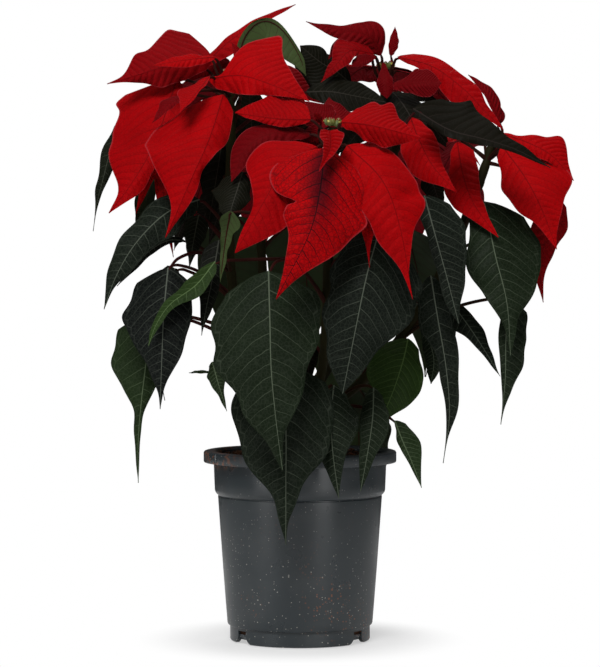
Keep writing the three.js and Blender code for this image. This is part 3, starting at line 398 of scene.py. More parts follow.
# %% Mottling group
w, given, result = make_group(
    "mottling",
    [("Colour", COLOUR, (1, 1, 1, 1)), ("Patch Scale", NUMBER, 60.0), ("Strength", NUMBER, 0.3)],
    [("Colour", COLOUR)])
patches = w.minus(w.noise(given["Patch Scale"], 4.0), 0.5)
value = w.plus(1.0, w.times(w.times(patches, given["Strength"]), 4.0))
shaded = w.add("ShaderNodeHueSaturation", {"Color": given["Colour"], "Value": value})
w.put(result["Colour"], shaded.outputs["Color"])


def mottled(wiring, colour, scale, strength):
    """A colour after the mottling group."""
    node = wiring.add("ShaderNodeGroup", node_tree=bpy.data.node_groups["mottling"])
    for key, value in (("Colour", colour), ("Patch Scale", scale), ("Strength", strength)):
        wiring.put(node.inputs[key], value)
    return node.outputs["Colour"]


def new_material(name, roughness, specular=0.5):
    """A Principled material with its roughness set, and the wiring of its tree."""
    material = bpy.data.materials.new(name)
    material.use_nodes = True
    wiring = Wiring(material.node_tree)
    surface = material.node_tree.nodes["Principled BSDF"]
    wiring.put(surface.inputs["Roughness"], roughness)
    wiring.put(surface.inputs["Specular IOR Level"], specular)
    return material, wiring, surface


def add_bump(wiring, surface, height, strength, distance_mm):
    """Relief on a Principled surface from a height between 0 and 1."""
    bump = wiring.add("ShaderNodeBump", {"Height": height, "Strength": strength,
                                         "Distance": distance_mm * MM})
    wiring.put(surface.inputs["Normal"], bump.outputs["Normal"])


def rgb(red, green, blue):
    return (red, green, blue, 1.0)


# %% [markdown]
# ### Leaf and bract
# Leaf and bract are the same organ, so their materials share the vein group. An old leaf is
# a very dark bluish green above, with thin pale veins and hardly any shine, and a dull grey
# green below. Its tone turns it a fresh yellow green. Its painted shade takes it and its
# veins towards a brownish near black: shade painted onto leaves deep among the stems. A
# bract is a velvety red with veins a little darker than the blade, and its underside is
# duller and pinker. Its tone turns it crimson, a darker red that on bracts deep in the
# heads also stands for their shade. Its painted shade turns its veins and the blade about
# the midrib almost black: shade painted onto the blade.

# %% Leaf material
LEAF_DARK, LEAF_FRESH = rgb(0.0053, 0.0062, 0.0065), rgb(0.024, 0.048, 0.011)
# Painted shade: the brownish near black towards which a shaded leaf, and further down its veins, are
# darkened.
LEAF_PAINTED_SHADE = rgb(0.0058, 0.0052, 0.0026)
LEAF_UNDER, LEAF_UNDER_FRESH = rgb(0.020, 0.028, 0.014), rgb(0.052, 0.078, 0.026)
LEAF_VEIN, LEAF_FRESH_VEIN = rgb(0.130, 0.145, 0.120), rgb(0.12, 0.20, 0.06)
LEAF_PAINTED_SHADE_VEIN, LEAF_UNDER_VEIN = rgb(0.030, 0.022, 0.019), rgb(0.035, 0.012, 0.015)

leaf, w, surface = new_material("leaf", 0.5, 0.035)
veins = w.add("ShaderNodeGroup", {"Vein Width": 0.34, "Midrib Width": 0.9, "Count": LEAF_VEINS},
              node_tree=bpy.data.node_groups["blade veins"]).outputs
_, tone, ink = w.attribute("blade_look")
under, _, _ = w.attribute("blade_face")
# Painted shade: the row's value darkens the blade here, and its veins three lines down, towards near black.
body = mottled(w, w.mix(ink, w.mix(tone, LEAF_DARK, LEAF_FRESH), LEAF_PAINTED_SHADE), 45.0, 0.18)
lines = w.larger(w.times(veins["Side Veins"], 0.42), w.times(veins["Midrib"], 0.75))
lines = w.larger(lines, w.times(veins["Net"], 0.075))
upper = w.mix(lines, body, w.mix(ink, w.mix(tone, LEAF_VEIN, LEAF_FRESH_VEIN), LEAF_PAINTED_SHADE_VEIN))
dull = mottled(w, w.mix(tone, LEAF_UNDER, LEAF_UNDER_FRESH), 60.0, 0.15)
all_veins = w.larger(veins["Side Veins"], veins["Midrib"])
lower = w.mix(w.times(all_veins, 0.6), dull, LEAF_UNDER_VEIN)
w.put(surface.inputs["Base Color"], w.mix(under, upper, lower))
w.put(surface.inputs["Roughness"], w.ramp(veins["Pillow"], 0.0, 1.0, 0.56, 0.44))
relief = w.minus(veins["Pillow"], w.times(veins["Net"], 0.12))
add_bump(w, surface, relief, 0.3, 0.5)

# %% Bract material
# The crimson is partly the bracts' own darker red and partly painted shade, given most to bracts deep in
# the heads.
BRACT_RED, BRACT_CRIMSON_AND_SHADE = rgb(0.43, 0.0009, 0.0022), rgb(0.140, 0.0012, 0.0032)
# Painted shade: the second colour on this line is the near black of shaded veins, and the next line's
# colour is the dark red about the midrib.
BRACT_VEIN, BRACT_PAINTED_SHADE_VEIN = rgb(0.11, 0.0006, 0.0016), rgb(0.010, 0.002, 0.004)
BRACT_PAINTED_SHADE = rgb(0.030, 0.0015, 0.005)
BRACT_UNDER, BRACT_MARGIN = rgb(0.24, 0.008, 0.013), rgb(0.38, 0.040, 0.050)

bract, w, surface = new_material("bract", 0.6, 0.03)
veins = w.add("ShaderNodeGroup", {"Vein Width": 0.5, "Midrib Width": 0.9, "Count": BRACT_VEINS},
              node_tree=bpy.data.node_groups["blade veins"]).outputs
_, tone, ink = w.attribute("blade_look")
under, _, _ = w.attribute("blade_face")
# Partly painted shade: the crimson tone darkens the bracts deep in the heads.
body = mottled(w, w.mix(tone, BRACT_RED, BRACT_CRIMSON_AND_SHADE), 28.0, 0.16)
along, _, share = w.attribute("blade_map")
# Painted shade: a dark patch over the middle of the blade about the midrib, as strong as the row's value.
painted_midrib_shade = w.times(w.ramp(share, 0.0, 0.55, 1.0, 0.0), w.ramp(along, 0.30, 0.75, 0.85, 0.0))
body = w.mix(w.times(painted_midrib_shade, ink), body, BRACT_PAINTED_SHADE)
side = w.times(veins["Side Veins"], w.ramp(tone, 0.0, 1.0, 0.40, 0.75))
faint = w.larger(side, w.times(veins["Midrib"], 0.7))
faint = w.larger(faint, w.times(veins["Net"], 0.14))
upper = w.mix(faint, body, BRACT_VEIN)
strong = w.larger(veins["Midrib"], w.times(veins["Net"], 0.35))
strong = w.larger(veins["Side Veins"], strong)
# Painted shade: the veins go near black, as strong as the row's value.
upper = w.mix(w.times(strong, ink), upper, BRACT_PAINTED_SHADE_VEIN)
upper = w.mix(w.times(veins["Margin"], 0.6), upper, BRACT_MARGIN)
lower = mottled(w, BRACT_UNDER, 30.0, 0.15)
w.put(surface.inputs["Base Color"], w.mix(under, upper, lower))
crinkles = w.plus(w.times(w.noise(320.0, 3.0), 0.9), w.times(w.noise(90.0, 2.0), 0.7))
relief = w.minus(w.plus(veins["Pillow"], crinkles), w.times(veins["Net"], 0.22))
add_bump(w, surface, relief, 0.75, 0.7)
surface.inputs["Sheen Weight"].default_value = 0.01
surface.inputs["Sheen Roughness"].default_value = 0.4

# %% [markdown]
# ### Stems, buds and wood
# Stalks are maroon where the light tans them and green near the stem, and young shoots are
# a dark olive green. A stalk carries a value that says how red it is. The old stem is
# grey-brown bark with lengthwise streaks and a low ring wherever leaves once grew.

# %% Stalk, stem, wood and bud materials
STALK_GREEN, STALK_MAROON = rgb(0.013, 0.016, 0.005), rgb(0.040, 0.005, 0.006)
BARK_PALE, BARK_DARK = rgb(0.17, 0.135, 0.075), rgb(0.055, 0.038, 0.020)

stalk, w, surface = new_material("stalk", 0.6, 0.04)
redness, _, _ = w.attribute("stalk_look")
w.put(surface.inputs["Base Color"], mottled(w, w.mix(redness, STALK_GREEN, STALK_MAROON), 90.0, 0.2))
add_bump(w, surface, w.noise(900.0, 2.0), 0.25, 0.2)

wood, w, surface = new_material("wood", 0.8, 0.3)
streaks = w.add("ShaderNodeMapping", {"Vector": w.object_place(), "Scale": (900.0, 900.0, 110.0)})
bark = w.noise(1.0, 4.0, streaks.outputs[0])
bark_colour = w.mix(w.ramp(bark, 0.35, 0.65), BARK_DARK, BARK_PALE)
w.put(surface.inputs["Base Color"], mottled(w, bark_colour, 120.0, 0.3))
add_bump(w, surface, bark, 0.8, 0.6)

BUD_GREEN, BUD_YELLOW, BUD_RED = rgb(0.090, 0.125, 0.030), rgb(0.42, 0.36, 0.07), rgb(0.30, 0.01, 0.012)
bud, w, surface = new_material("bud", 0.4, 0.5)
yellow, red, _ = w.attribute("bud_look")
colour = w.mix(red, w.mix(yellow, BUD_GREEN, BUD_YELLOW), BUD_RED)
w.put(surface.inputs["Base Color"], mottled(w, colour, 250.0, 0.2))
add_bump(w, surface, w.noise(1500.0, 2.0), 0.2, 0.15)

# %% [markdown]
# ### Peat and plastic
# The peat is dark brown with crumbs from near black to rusty orange. Each crumb carries its
# own shade. The pot is a slate grey moulded plastic with a faint long sheen. Fine dust lies
# on it, with brown splashes of peat low down and along the left of the lip.

# %% Peat material
PEAT_DARK, PEAT_RUST, PEAT_PALE = rgb(0.016, 0.008, 0.005), rgb(0.17, 0.062, 0.022), rgb(0.30, 0.20, 0.12)

peat, w, surface = new_material("peat", 0.95, 0.2)
rust, pale, _ = w.attribute("crumb_look")
grain = w.noise(1300.0, 3.0)
colour = w.mix(w.times(rust, w.ramp(grain, 0.3, 0.7)), PEAT_DARK, PEAT_RUST)
w.put(surface.inputs["Base Color"], mottled(w, w.mix(pale, colour, PEAT_PALE), 200.0, 0.35))
add_bump(w, surface, grain, 0.9, 0.8)

# %% Pot material
POT_SLATE, POT_WORN = rgb(0.0215, 0.029, 0.033), rgb(0.034, 0.041, 0.044)
DUST_PALE, DUST_BROWN = rgb(0.42, 0.40, 0.36), rgb(0.22, 0.075, 0.03)

plastic, w, surface = new_material("pot plastic", 0.42, 0.5)
place = w.object_place()
x, _, height = w.add("ShaderNodeSeparateXYZ", {"Vector": place}).outputs
scuffs = w.noise(38.0, 5.0)
body = w.mix(w.ramp(scuffs, 0.45, 0.75), POT_SLATE, POT_WORN)


def specks(wiring, scale, size, seed_shift):
    """A mask of small round specks: the middles of scattered cells. A cell's radius is its
    own random number squared, times size."""
    moved = wiring.add("ShaderNodeMapping", {"Vector": wiring.object_place(),
                                             "Location": (seed_shift,) * 3})
    cells = wiring.add("ShaderNodeTexVoronoi", {"Vector": moved.outputs[0], "Scale": scale})
    pick = wiring.add("ShaderNodeSeparateColor", {"Color": cells.outputs["Color"]}).outputs[0]
    rim = wiring.times(wiring.times(pick, pick), size)
    return wiring.math("LESS_THAN", cells.outputs["Distance"], rim)


low = w.ramp(height, 0.015, 0.075, 1.0, 0.0)
lip = w.ramp(height, 0.114, 0.120)
left_lip = w.times(lip, w.ramp(x, -0.055, -0.035, 1.0, 0.0))
patchy = w.ramp(w.noise(26.0, 3.0), 0.50, 0.66)
brown = w.times(specks(w, 520.0, 0.42, 0.3), w.times(w.plus(low, 0.12), patchy))
grit = w.times(w.ramp(w.noise(260.0, 4.0), 0.52, 0.60), left_lip)
pale = w.times(specks(w, 540.0, 0.24, 0.0), w.ramp(height, 0.03, 0.09, 0.85, 0.35))
body = w.mix(pale, body, DUST_PALE)
body = w.mix(w.times(brown, 0.8), body, DUST_BROWN)
body = w.mix(w.times(grit, 0.7), body, DUST_BROWN)
w.put(surface.inputs["Base Color"], body)
w.put(surface.inputs["Roughness"], w.ramp(scuffs, 0.3, 0.8, 0.27, 0.40))
add_bump(w, surface, w.noise(1400.0, 2.0), 0.12, 0.1)

# %% [markdown]
# ## Shoots and blades
# The plant's plan, in millimetres: the centre line of each shoot with the height at which
# its flower head begins, and every blade with its base, tip and width. A blade's words are
# those of its solid: which way it faces, how far and where the midrib arches, how far each
# half droops and curls, and how long the tip is drawn. A start is the height at which the
# stalk leaves the shoot, and via is a point that it bends towards. A notch is a bite out of
# one half, and a dent presses it in. Wave is how far the margin waves, tone is that of the
# materials, and painted shade is how much shade the materials paint onto the blade.

# %% Shoots
SHOOTS = {  # centre line, height where the head begins, share of the first span in the woody fork
    "a": ([(0, 0, 138), (9, -24, 158), (16, -44, 196), (18, -58, 250), (20, -70, 298), (21, -77, 340)],
          318, 0.5),
    "b": ([(-2, 0, 144), (-26, -6, 168), (-42, -14, 215), (-47, -20, 270), (-46, -22, 330),
           (-46, -20, 376)], 352, 0.5),
    "c": ([(2, 2, 156), (20, 8, 185), (42, 14, 240), (54, 18, 310), (58, 20, 384)], 362, 0.6),
    "d": ([(4, 0, 148), (40, -3, 172), (76, -8, 215), (102, -9, 262), (120, -5, 306), (129, -1, 333)],
          318, 0.35),
    "e": ([(-1, 3, 150), (-14, 28, 178), (-24, 58, 225), (-28, 76, 290), (-26, 84, 351)], 330, 0.45),
    "f": ([(2, 3, 160), (22, 30, 190), (46, 60, 235), (62, 80, 300), (68, 90, 346)], 326, 0.4),
}
TRUNK = [(0, 0, 62), (1, -1, 105), (1, 1, 150), (2, 2, 162)]

# %% Blade rows
PLAIN_FORM = dict(face=(0, -1, 0.3), arch=8, peak=0.45, fold=(14, 14), curl=(0, 0), taper=1.4, notch=None,
                  start=None, via=None, spine=(), edges=None, wave=0.035, dent=None, tone=None, ink=0)


def row(name, base, tip, width, **form):
    """One blade of the plan, with the plain form's words where it gives none."""
    return {**PLAIN_FORM, "name": name, "base": base, "tip": tip, "width": width, **form}


def painted_shade_row(name, base, tip, width, **form):
    """A small dark blade deep among the stems, put where there is only shade. It faces the front,
    closes a gap that would let the white room show between the blades, and most rows give it
    full painted shade."""
    return row(name, base, tip, width, face=(0, -1, 0.4), arch=4, **form)


def around(centre, azimuth, radius):
    """The place, in whole millimetres, at an azimuth in degrees and a radius round a centre."""
    x, y, z = centre
    turn = np.radians(azimuth)
    return round(x + radius * np.cos(turn)), round(y + radius * np.sin(turn)), z


# %% [markdown]
# ### Blades that face the camera
# A place in the camera's frame is a pixel: so far across and so far down. It fixes a
# direction, and a chosen depth fixes how far along it the place lies. A blade that covers
# another in the frame is given the nearer depth. Its half-widths are pixels too, square to
# the midrib. A half that droops or turns away looks narrower than it is, so its width is
# divided by how much of it the frame shows.

# %% From the frame to millimetres
FOCAL_PIXELS = 2522.0  # focal length of the lens, in pixels of a frame 600 wide and 667 high
MIDDLE_COLUMN, HORIZON_ROW = 300.5, 278.5  # pixels straight ahead, and level with the camera
CAMERA_DISTANCE, CAMERA_HEIGHT = -CAMERA_PLACE[1] / MM, CAMERA_PLACE[2] / MM
SIDE_STEPS = np.arange(1, 7) / 7  # shares of the midrib at which half-widths are given
LEAST_SHOWN = 0.62  # least share of a half-width that the frame is taken to show
LEAST_CURL = 1e-3  # radians, under which a section counts as straight


def seen_at(across, down, depth):
    """The place in whole millimetres of a pixel at a depth behind the pot's axis: a pixel
    spans the distance from the camera divided by the focal length in pixels."""
    span = (CAMERA_DISTANCE + depth) / FOCAL_PIXELS
    return (round((across - MIDDLE_COLUMN) * span), round(depth),
            round(CAMERA_HEIGHT + (HORIZON_ROW - down) * span))


def to_half(length):
    """A length rounded to half a millimetre."""
    return round(length * 2) / 2


def true_half_widths(midrib, face, seen, fold, curl, way):
    """Half-widths in millimetres from those seen, on the left (way -1) or the right (way 1).
    The section's line runs out along its fold and curl. What the frame shows of it is the
    part that is square to the midrib in the frame."""
    here = curve_through(midrib, SIDE_STEPS)
    along = unit(curve_through(midrib, SIDE_STEPS + 0.01) - curve_through(midrib, SIDE_STEPS - 0.01))
    across = unit(np.cross(np.array(face, float), along))
    fold, curl = np.radians(fold), max(np.radians(curl), LEAST_CURL)
    outward = (way * across * ((np.sin(fold + curl) - np.sin(fold)) / curl)
               + np.cross(along, across) * ((np.cos(fold + curl) - np.cos(fold)) / curl))
    pixels = FOCAL_PIXELS / (CAMERA_DISTANCE + here[:, 1])
    midrib_seen = unit(along[:, [0, 2]])
    outward_seen = outward[:, [0, 2]] * pixels[:, None]
    square = np.abs(outward_seen[:, 0] * midrib_seen[:, 1] - outward_seen[:, 1] * midrib_seen[:, 0])
    return [to_half(width) for width in seen / np.maximum(square, LEAST_SHOWN * pixels)]


def seen_row(name, pixels, depths, arch, left, right, face=PLAIN_FORM["face"],
             fold=PLAIN_FORM["fold"], curl=PLAIN_FORM["curl"], **form):
    """A blade from its midrib's pixels, base first, its depths at base and tip, how far the
    midrib arches towards the camera between them, and six half-widths a side in pixels."""
    front, back = depths
    towards = np.copysign(arch, -face[1]) * abs(face[1]) / np.hypot(np.hypot(face[0], face[1]), face[2])
    midrib = []
    for index, (across, down) in enumerate(pixels):
        t = index / (len(pixels) - 1)
        midrib.append(seen_at(across, down, front + (back - front) * t - towards * 4 * t * (1 - t)))
    edges = [true_half_widths(midrib, face, np.array(seen), droop, bend, way)
             for seen, droop, bend, way in zip((left, right), fold, curl, (-1, 1))]
    width = max(a + b for a, b in zip(*edges))
    return row(name, midrib[0], midrib[-1], width, face=face, spine=tuple(midrib[1:-1]), edges=edges,
               fold=fold, curl=curl, **form)


# %% Plan of the bracts
BRACTS = {
    "a": [
        seen_row("centre", [(325, 148), (320, 195), (309, 237), (277, 299)], (-98, -130), 9,
            [49, 47, 31, 29, 18, 8], [41, 50, 50, 43, 28, 10.5], face=(0, -1, 0.1), fold=(8, 12),
            curl=(12, 16), notch=(-1, 0.385, 0.35, 0.035), ink=1),
        seen_row("left", [(318, 147), (287, 165), (266, 200), (235, 253)], (-88, -106), 7,
            [20, 32, 35, 22, 9, 6], [12, 20, 27, 32, 33, 20], face=(-0.2, -1, 0.3), curl=(16, 10)),
        seen_row("right", [(348, 146), (383, 181), (401, 227), (413, 299)], (-88, -112), 9,
            [30, 34, 32, 30, 24, 7.5], [24, 29, 31, 30, 11.5, 1.5], face=(0.1, -1, 0.3), fold=(12, 14),
            curl=(14, 10), dent=(1, 0.47, 5, 0.045)),
        seen_row("inner right", [(347, 148), (361, 187), (368, 227), (370, 267)], (-84, -100), 6,
            [10, 14, 14, 11, 6, 2.5], [10, 16, 18, 16, 6, 1.5]),
        seen_row("upper right", [(341, 123), (367, 125), (393, 131), (421, 138)], (-84, -98), 5,
            [8, 14, 17, 18, 15, 8], [19, 24.5, 25, 25, 13, 6], face=(0, -1, 0.5), fold=(46, 12),
            curl=(8, 8)),
        seen_row("upper left", [(312, 120), (288, 120), (261, 117), (236, 113)], (-78, -68), 5,
            [28, 28, 27, 25, 24, 14], [5, 7, 7.5, 7, 5, 3], face=(-0.1, -1, 0.3), fold=(12, 20),
            curl=(20, 0)),
        seen_row("side left", [(312, 135), (275, 133), (248, 148), (232, 182)], (-72, -80), 4,
            [6, 8, 12, 14, 13, 8], [8, 12, 14, 14, 10, 6], face=(-0.2, -1, 0.5), fold=(20, 18), tone=1),
        seen_row("small folded", [(331, 131), (330, 149), (319, 171)], (-92, -121), 2, [10, 10, 9, 7, 4, 2],
            [9, 13, 11, 7, 4, 2], fold=(-30, -30), tone=0.4),
        seen_row("small back", [(322.5, 124.5), (319, 119), (315, 113)], (-74, -80), 1,
            [1.5, 3, 3.5, 3.5, 3, 2], [1.5, 3, 3.5, 3.5, 3, 2], fold=(20, 20), tone=0.8, via=(8, -72, 334)),
        seen_row("back rising", [(340, 128), (336, 114), (330, 98)], (-62, -40), 3, [14, 20, 20, 16, 11, 5],
            [14, 22, 24, 20, 14, 7], face=(0, -0.8, 0.6), tone=1, via=(22, -62, 330)),
        seen_row("back left", [(326, 128), (314, 115), (301, 102)], (-62, -44), 3, [10, 17, 20, 19, 15, 8],
            [8, 12, 13, 11, 8, 4], face=(-0.1, -0.8, 0.6), tone=1, via=(14, -60, 328)),
        seen_row("low left", [(328, 135), (314, 138), (297, 149)], (-66, -62), 2, [8, 12, 13, 12, 9, 5],
            [8, 12, 13, 12, 9, 5], face=(-0.1, -1, 0.3), tone=1),
    ],
    "b": [
        seen_row("upper left", [(214, 58), (186, 64), (160, 68), (135, 77), (108, 84)], (-20, -24), 8,
            [34, 40, 33, 22, 19, 5], [12, 16, 18, 16, 9, 3], face=(0, -1, 0.45), fold=(8, 38), curl=(6, 10),
            via=(-56, -20, 376), tone=0.7),
        seen_row("small upper left", [(216, 58), (185, 61), (152, 66)], (-34, -48), 6, [3, 5, 5.5, 5, 4, 2],
            [5, 7, 8, 7, 5, 2.5], face=(0, -0.8, 0.6), fold=(10, 16)),
        seen_row("far left", [(178, 80), (166, 114), (150, 152), (131, 186), (109, 213)], (-16, -36), 10,
            [52, 46, 46, 39, 26, 5.5], [15, 18, 16, 12, 13, 7], face=(-0.15, -1, 0.3), fold=(12, 16),
            curl=(20, 0), tone=0.25),
        seen_row("left behind", [(168, 95), (160, 150), (137, 214)], (-12, -24), 8, [9, 11, 12, 12, 11, 5],
            [8, 9, 8, 6, 4, 2], face=(-0.2, -1, 0.3)),
        seen_row("front left", [(224, 95), (210, 137), (193, 177), (166, 238)], (-52, -86), 11,
            [42, 58, 60, 53, 34, 7], [15.5, 18, 10.5, 7, 9.5, 5.5], face=(-0.1, -1, 0.25), fold=(10, 34),
            curl=(20, 0)),
        seen_row("small front", [(186, 95), (170, 104), (153, 123)], (-46, -60), 3, [5, 7, 8, 7, 5, 2],
            [4, 5, 5, 5, 4, 2], face=(-0.3, -0.9, 0.5), fold=(20, 20), tone=0.9),
        seen_row("front curl", [(211, 77), (197, 93), (180, 113)], (-50, -80), 4, [8, 14, 17, 15, 10, 4],
            [2, 2.5, 2.5, 2, 2, 1], face=(-0.3, -1, 0.4), fold=(14, 10)),
        seen_row("upper right", [(204, 67), (229, 42), (261, 21), (296, 5.5)], (-8, 16), 3,
            [8, 13, 11, 7, 4, 2.5], [4.5, 4.5, 4.5, 4, 3, 2], face=(-0.3, -1, 0.5), fold=(16, 14),
            tone=0.4),
        seen_row("front right", [(209, 80), (240, 76), (273, 86), (310, 101)], (-40, -74), 6,
            [13, 19, 18, 14.5, 9, 4], [5, 32, 51, 35, 23, 11], face=(0.1, -1, 0.25), fold=(18, 6),
            curl=(8, 8)),
        seen_row("hanging behind", [(182, 120), (163, 178), (174, 258)], (-16, -26), 4, [7, 9, 9, 8, 6, 3],
            [6, 8, 8, 6, 4, 2]),
        row("back", (-51, -4, 378), (-62, 38, 344), 34, face=(0, 0.6, 1), arch=12),
        row("back left", around((-46, -20, 380), 132, 14), around((-46, -20, 332), 132, 84), 42,
            face=(-0.4, 0.45, 1), arch=12),
        seen_row("folded right", [(240, 72), (239, 58), (233, 44)], (-30, -26), 2, [6, 9, 10, 9, 7, 4],
            [2, 3, 3.5, 3.5, 3, 2], face=(0.3, -1, 0.3), fold=(20, 30), tone=0.7, via=(-38, -28, 366)),
        seen_row("right behind", [(243, 77), (270, 80), (298, 88), (324, 104)], (-2, 16), 4,
            [11, 16, 17, 15, 11, 5], [14, 22, 24, 21, 15, 7], face=(0.1, -0.8, 0.6), tone=1,
            via=(-40, -8, 366)),
        painted_shade_row("in the shade", (-47, 4, 389), (-81, 12, 374), 14, tone=1),
    ],
    "c": [
        seen_row("upper left", [(381, 56), (369, 36), (340, 30.5), (306, 22)], (8, -8), 4,
            [11.5, 18, 10.5, 7, 3, 1.5], [8, 14, 14, 11, 9, 5.5], face=(0, -1, 0.35), fold=(12, 16),
            curl=(10, 0), tone=0.9),
        seen_row("left", [(375, 54), (352, 51), (336, 65), (322, 82)], (0, -26), 6, [11, 15, 13, 8, 5, 3],
            [4, 7, 9, 9, 6, 3], face=(-0.2, -1, 0.4), fold=(12, 14), wave=0.07, tone=0.6),
        seen_row("small left", [(376, 57), (364, 60), (351, 67)], (-4, -18), 2, [3, 5, 6, 6, 5, 3],
            [3, 5, 6, 6, 5, 3], tone=1),
        seen_row("upright", [(391, 57), (392, 43), (395, 28)], (27, 28), 1, [3.5, 5.5, 6.5, 6.5, 5, 3],
            [2, 3, 3.5, 3, 2.5, 1.5], face=(0, -1, 0.1), tone=0.8, via=(66, 33, 384)),
        seen_row("hanging", [(384, 63), (386, 81), (387, 99)], (-4, -14), 3, [3, 5, 8, 9, 8, 5],
            [3, 5, 7, 8, 8, 5], face=(0, -1, 0.4), tone=1),
        seen_row("right", [(390, 88), (416, 84), (441, 84)], (-10, -20), 4, [4, 8, 10, 13, 15, 11],
            [5, 9, 13, 15, 14, 10], face=(0, -1, 0.45), tone=1),
        seen_row("long right", [(398, 58), (432, 66), (462, 88), (483, 108), (504, 130)], (10, -14), 4,
            [6, 12, 17, 16, 9, 4], [9, 11, 12, 11, 8, 4], face=(0.1, -0.9, 0.7), fold=(30, 16),
            curl=(10, 0), tone=0.3),
        row("right back", (66, 32, 386), (112, 62, 352), 34, face=(0.5, 0.3, 1), arch=8, tone=1),
        row("back", around((58, 20, 389), 80, 12), around((58, 20, 365), 80, 58), 36, face=(0.1, 0.6, 1)),
        row("back left", (54, 33, 388), (26, 64, 372), 40, face=(-0.2, 0.6, 1), arch=8),
        seen_row("left behind", [(372, 50), (354, 42), (338, 46), (328, 60)], (14, 6), 2,
            [6, 8, 8, 6, 4, 2], [8, 12, 12, 10, 7, 4], face=(-0.1, -1, 0.3), tone=1, via=(48, 14, 383)),
    ],
    "d": [
        seen_row("upright", [(499, 122), (488, 97), (468, 75)], (9, 12), 3, [5, 9, 10, 9, 7, 4],
            [2, 3, 3, 2.5, 2, 1], face=(0.3, -1, 0.4), fold=(18, 18), tone=0.9, via=(142, 12, 334)),
        seen_row("tiny", [(498, 127), (502, 116), (500, 106)], (13, 15), 1, [1.5, 2.5, 3, 3, 2.5, 1.5],
            [1.5, 2.5, 3, 3, 2.5, 1.5], face=(0.3, -1, 0.2), tone=1, via=(142, 14, 330)),
        seen_row("upper right", [(502, 133), (530, 143), (553, 157), (574, 181)], (-10, -22), 6,
            [4, 8, 10, 9, 7, 4], [3.5, 8, 15, 21, 17, 6], face=(0.1, -1, 0.5), fold=(20, 12), curl=(0, 10),
            via=(141, -10, 332)),
        seen_row("front right", [(502, 146), (526, 178), (543, 212), (557, 249)], (-16, -50), 8,
            [16, 25, 26, 22, 13, 6], [24, 38, 41, 30, 17, 7], face=(0.1, -1, 0.25), fold=(12, 12),
            curl=(10, 12)),
        seen_row("right behind", [(556, 195), (550, 228), (541, 262), (544, 302)], (-8, -20), 5,
            [14, 17, 18, 14, 8, 4], [15, 17, 14, 11, 7.5, 3], face=(0.2, -1, 0.2), tone=0.6),
        seen_row("front left", [(457, 143), (463, 176), (476, 206), (498, 238)], (-14, -46), 6,
            [9, 15, 22, 20, 12, 6], [16, 16, 14, 11, 8, 4], face=(-0.1, -1, 0.4)),
        seen_row("far left", [(411, 118), (420, 140), (433, 166), (457, 193)], (-34, -58), 4,
            [12, 18, 22, 22, 17, 7], [11, 16, 16, 13, 9, 4], face=(-0.1, -1, 0.3)),
        row("back", (140, 13, 340), (166, 70, 284), 32, face=(0.2, 0.6, 1), arch=12),
        row("back left", around((132, 0, 342), 130, 12), around((132, 0, 312), 130, 56), 34,
            face=(-0.4, 0.5, 1)),
    ],
    "e": [
        row("back", (-28, 104, 350), (-30, 154, 254), 58, face=(0, 1, 0.4), arch=12, peak=0.35, taper=1.2),
        row("back left", (-42, 94, 350), (-80, 130, 276), 52, face=(-0.7, 0.7, 0.5), arch=12),
        row("left", (-42, 79, 350), (-98, 62, 316), 44, face=(-0.6, -0.2, 1), arch=12),
        row("right", (-12, 96, 350), (14, 148, 270), 46, face=(0.4, 0.9, 0.5), arch=10),
        row("inner right", (-12, 76, 353), (28, 54, 350), 40, face=(0.4, -0.2, 1), arch=7),
        row("inner", (-27, 70, 355), (-29, 44, 356), 26, face=(0, -0.6, 1), arch=5),
    ],
    "f": [
        row("back", (72, 108, 345), (84, 160, 252), 56, face=(0.2, 1, 0.4), arch=12, peak=0.35, taper=1.2),
        row("right", (84, 95, 346), (138, 120, 276), 48, face=(0.8, 0.4, 0.7), arch=12),
        row("back left", (58, 106, 344), (44, 152, 264), 44, face=(-0.3, 0.9, 0.5), arch=10),
        row("front right", (83, 84, 346), (126, 66, 322), 36, face=(0.6, -0.2, 1), arch=9),
        row("inner", (55, 94, 351), (25, 105, 352), 30, face=(-0.6, 0.2, 1), arch=6),
    ],
}
print("bracts:", {key: len(rows) for key, rows in BRACTS.items()})

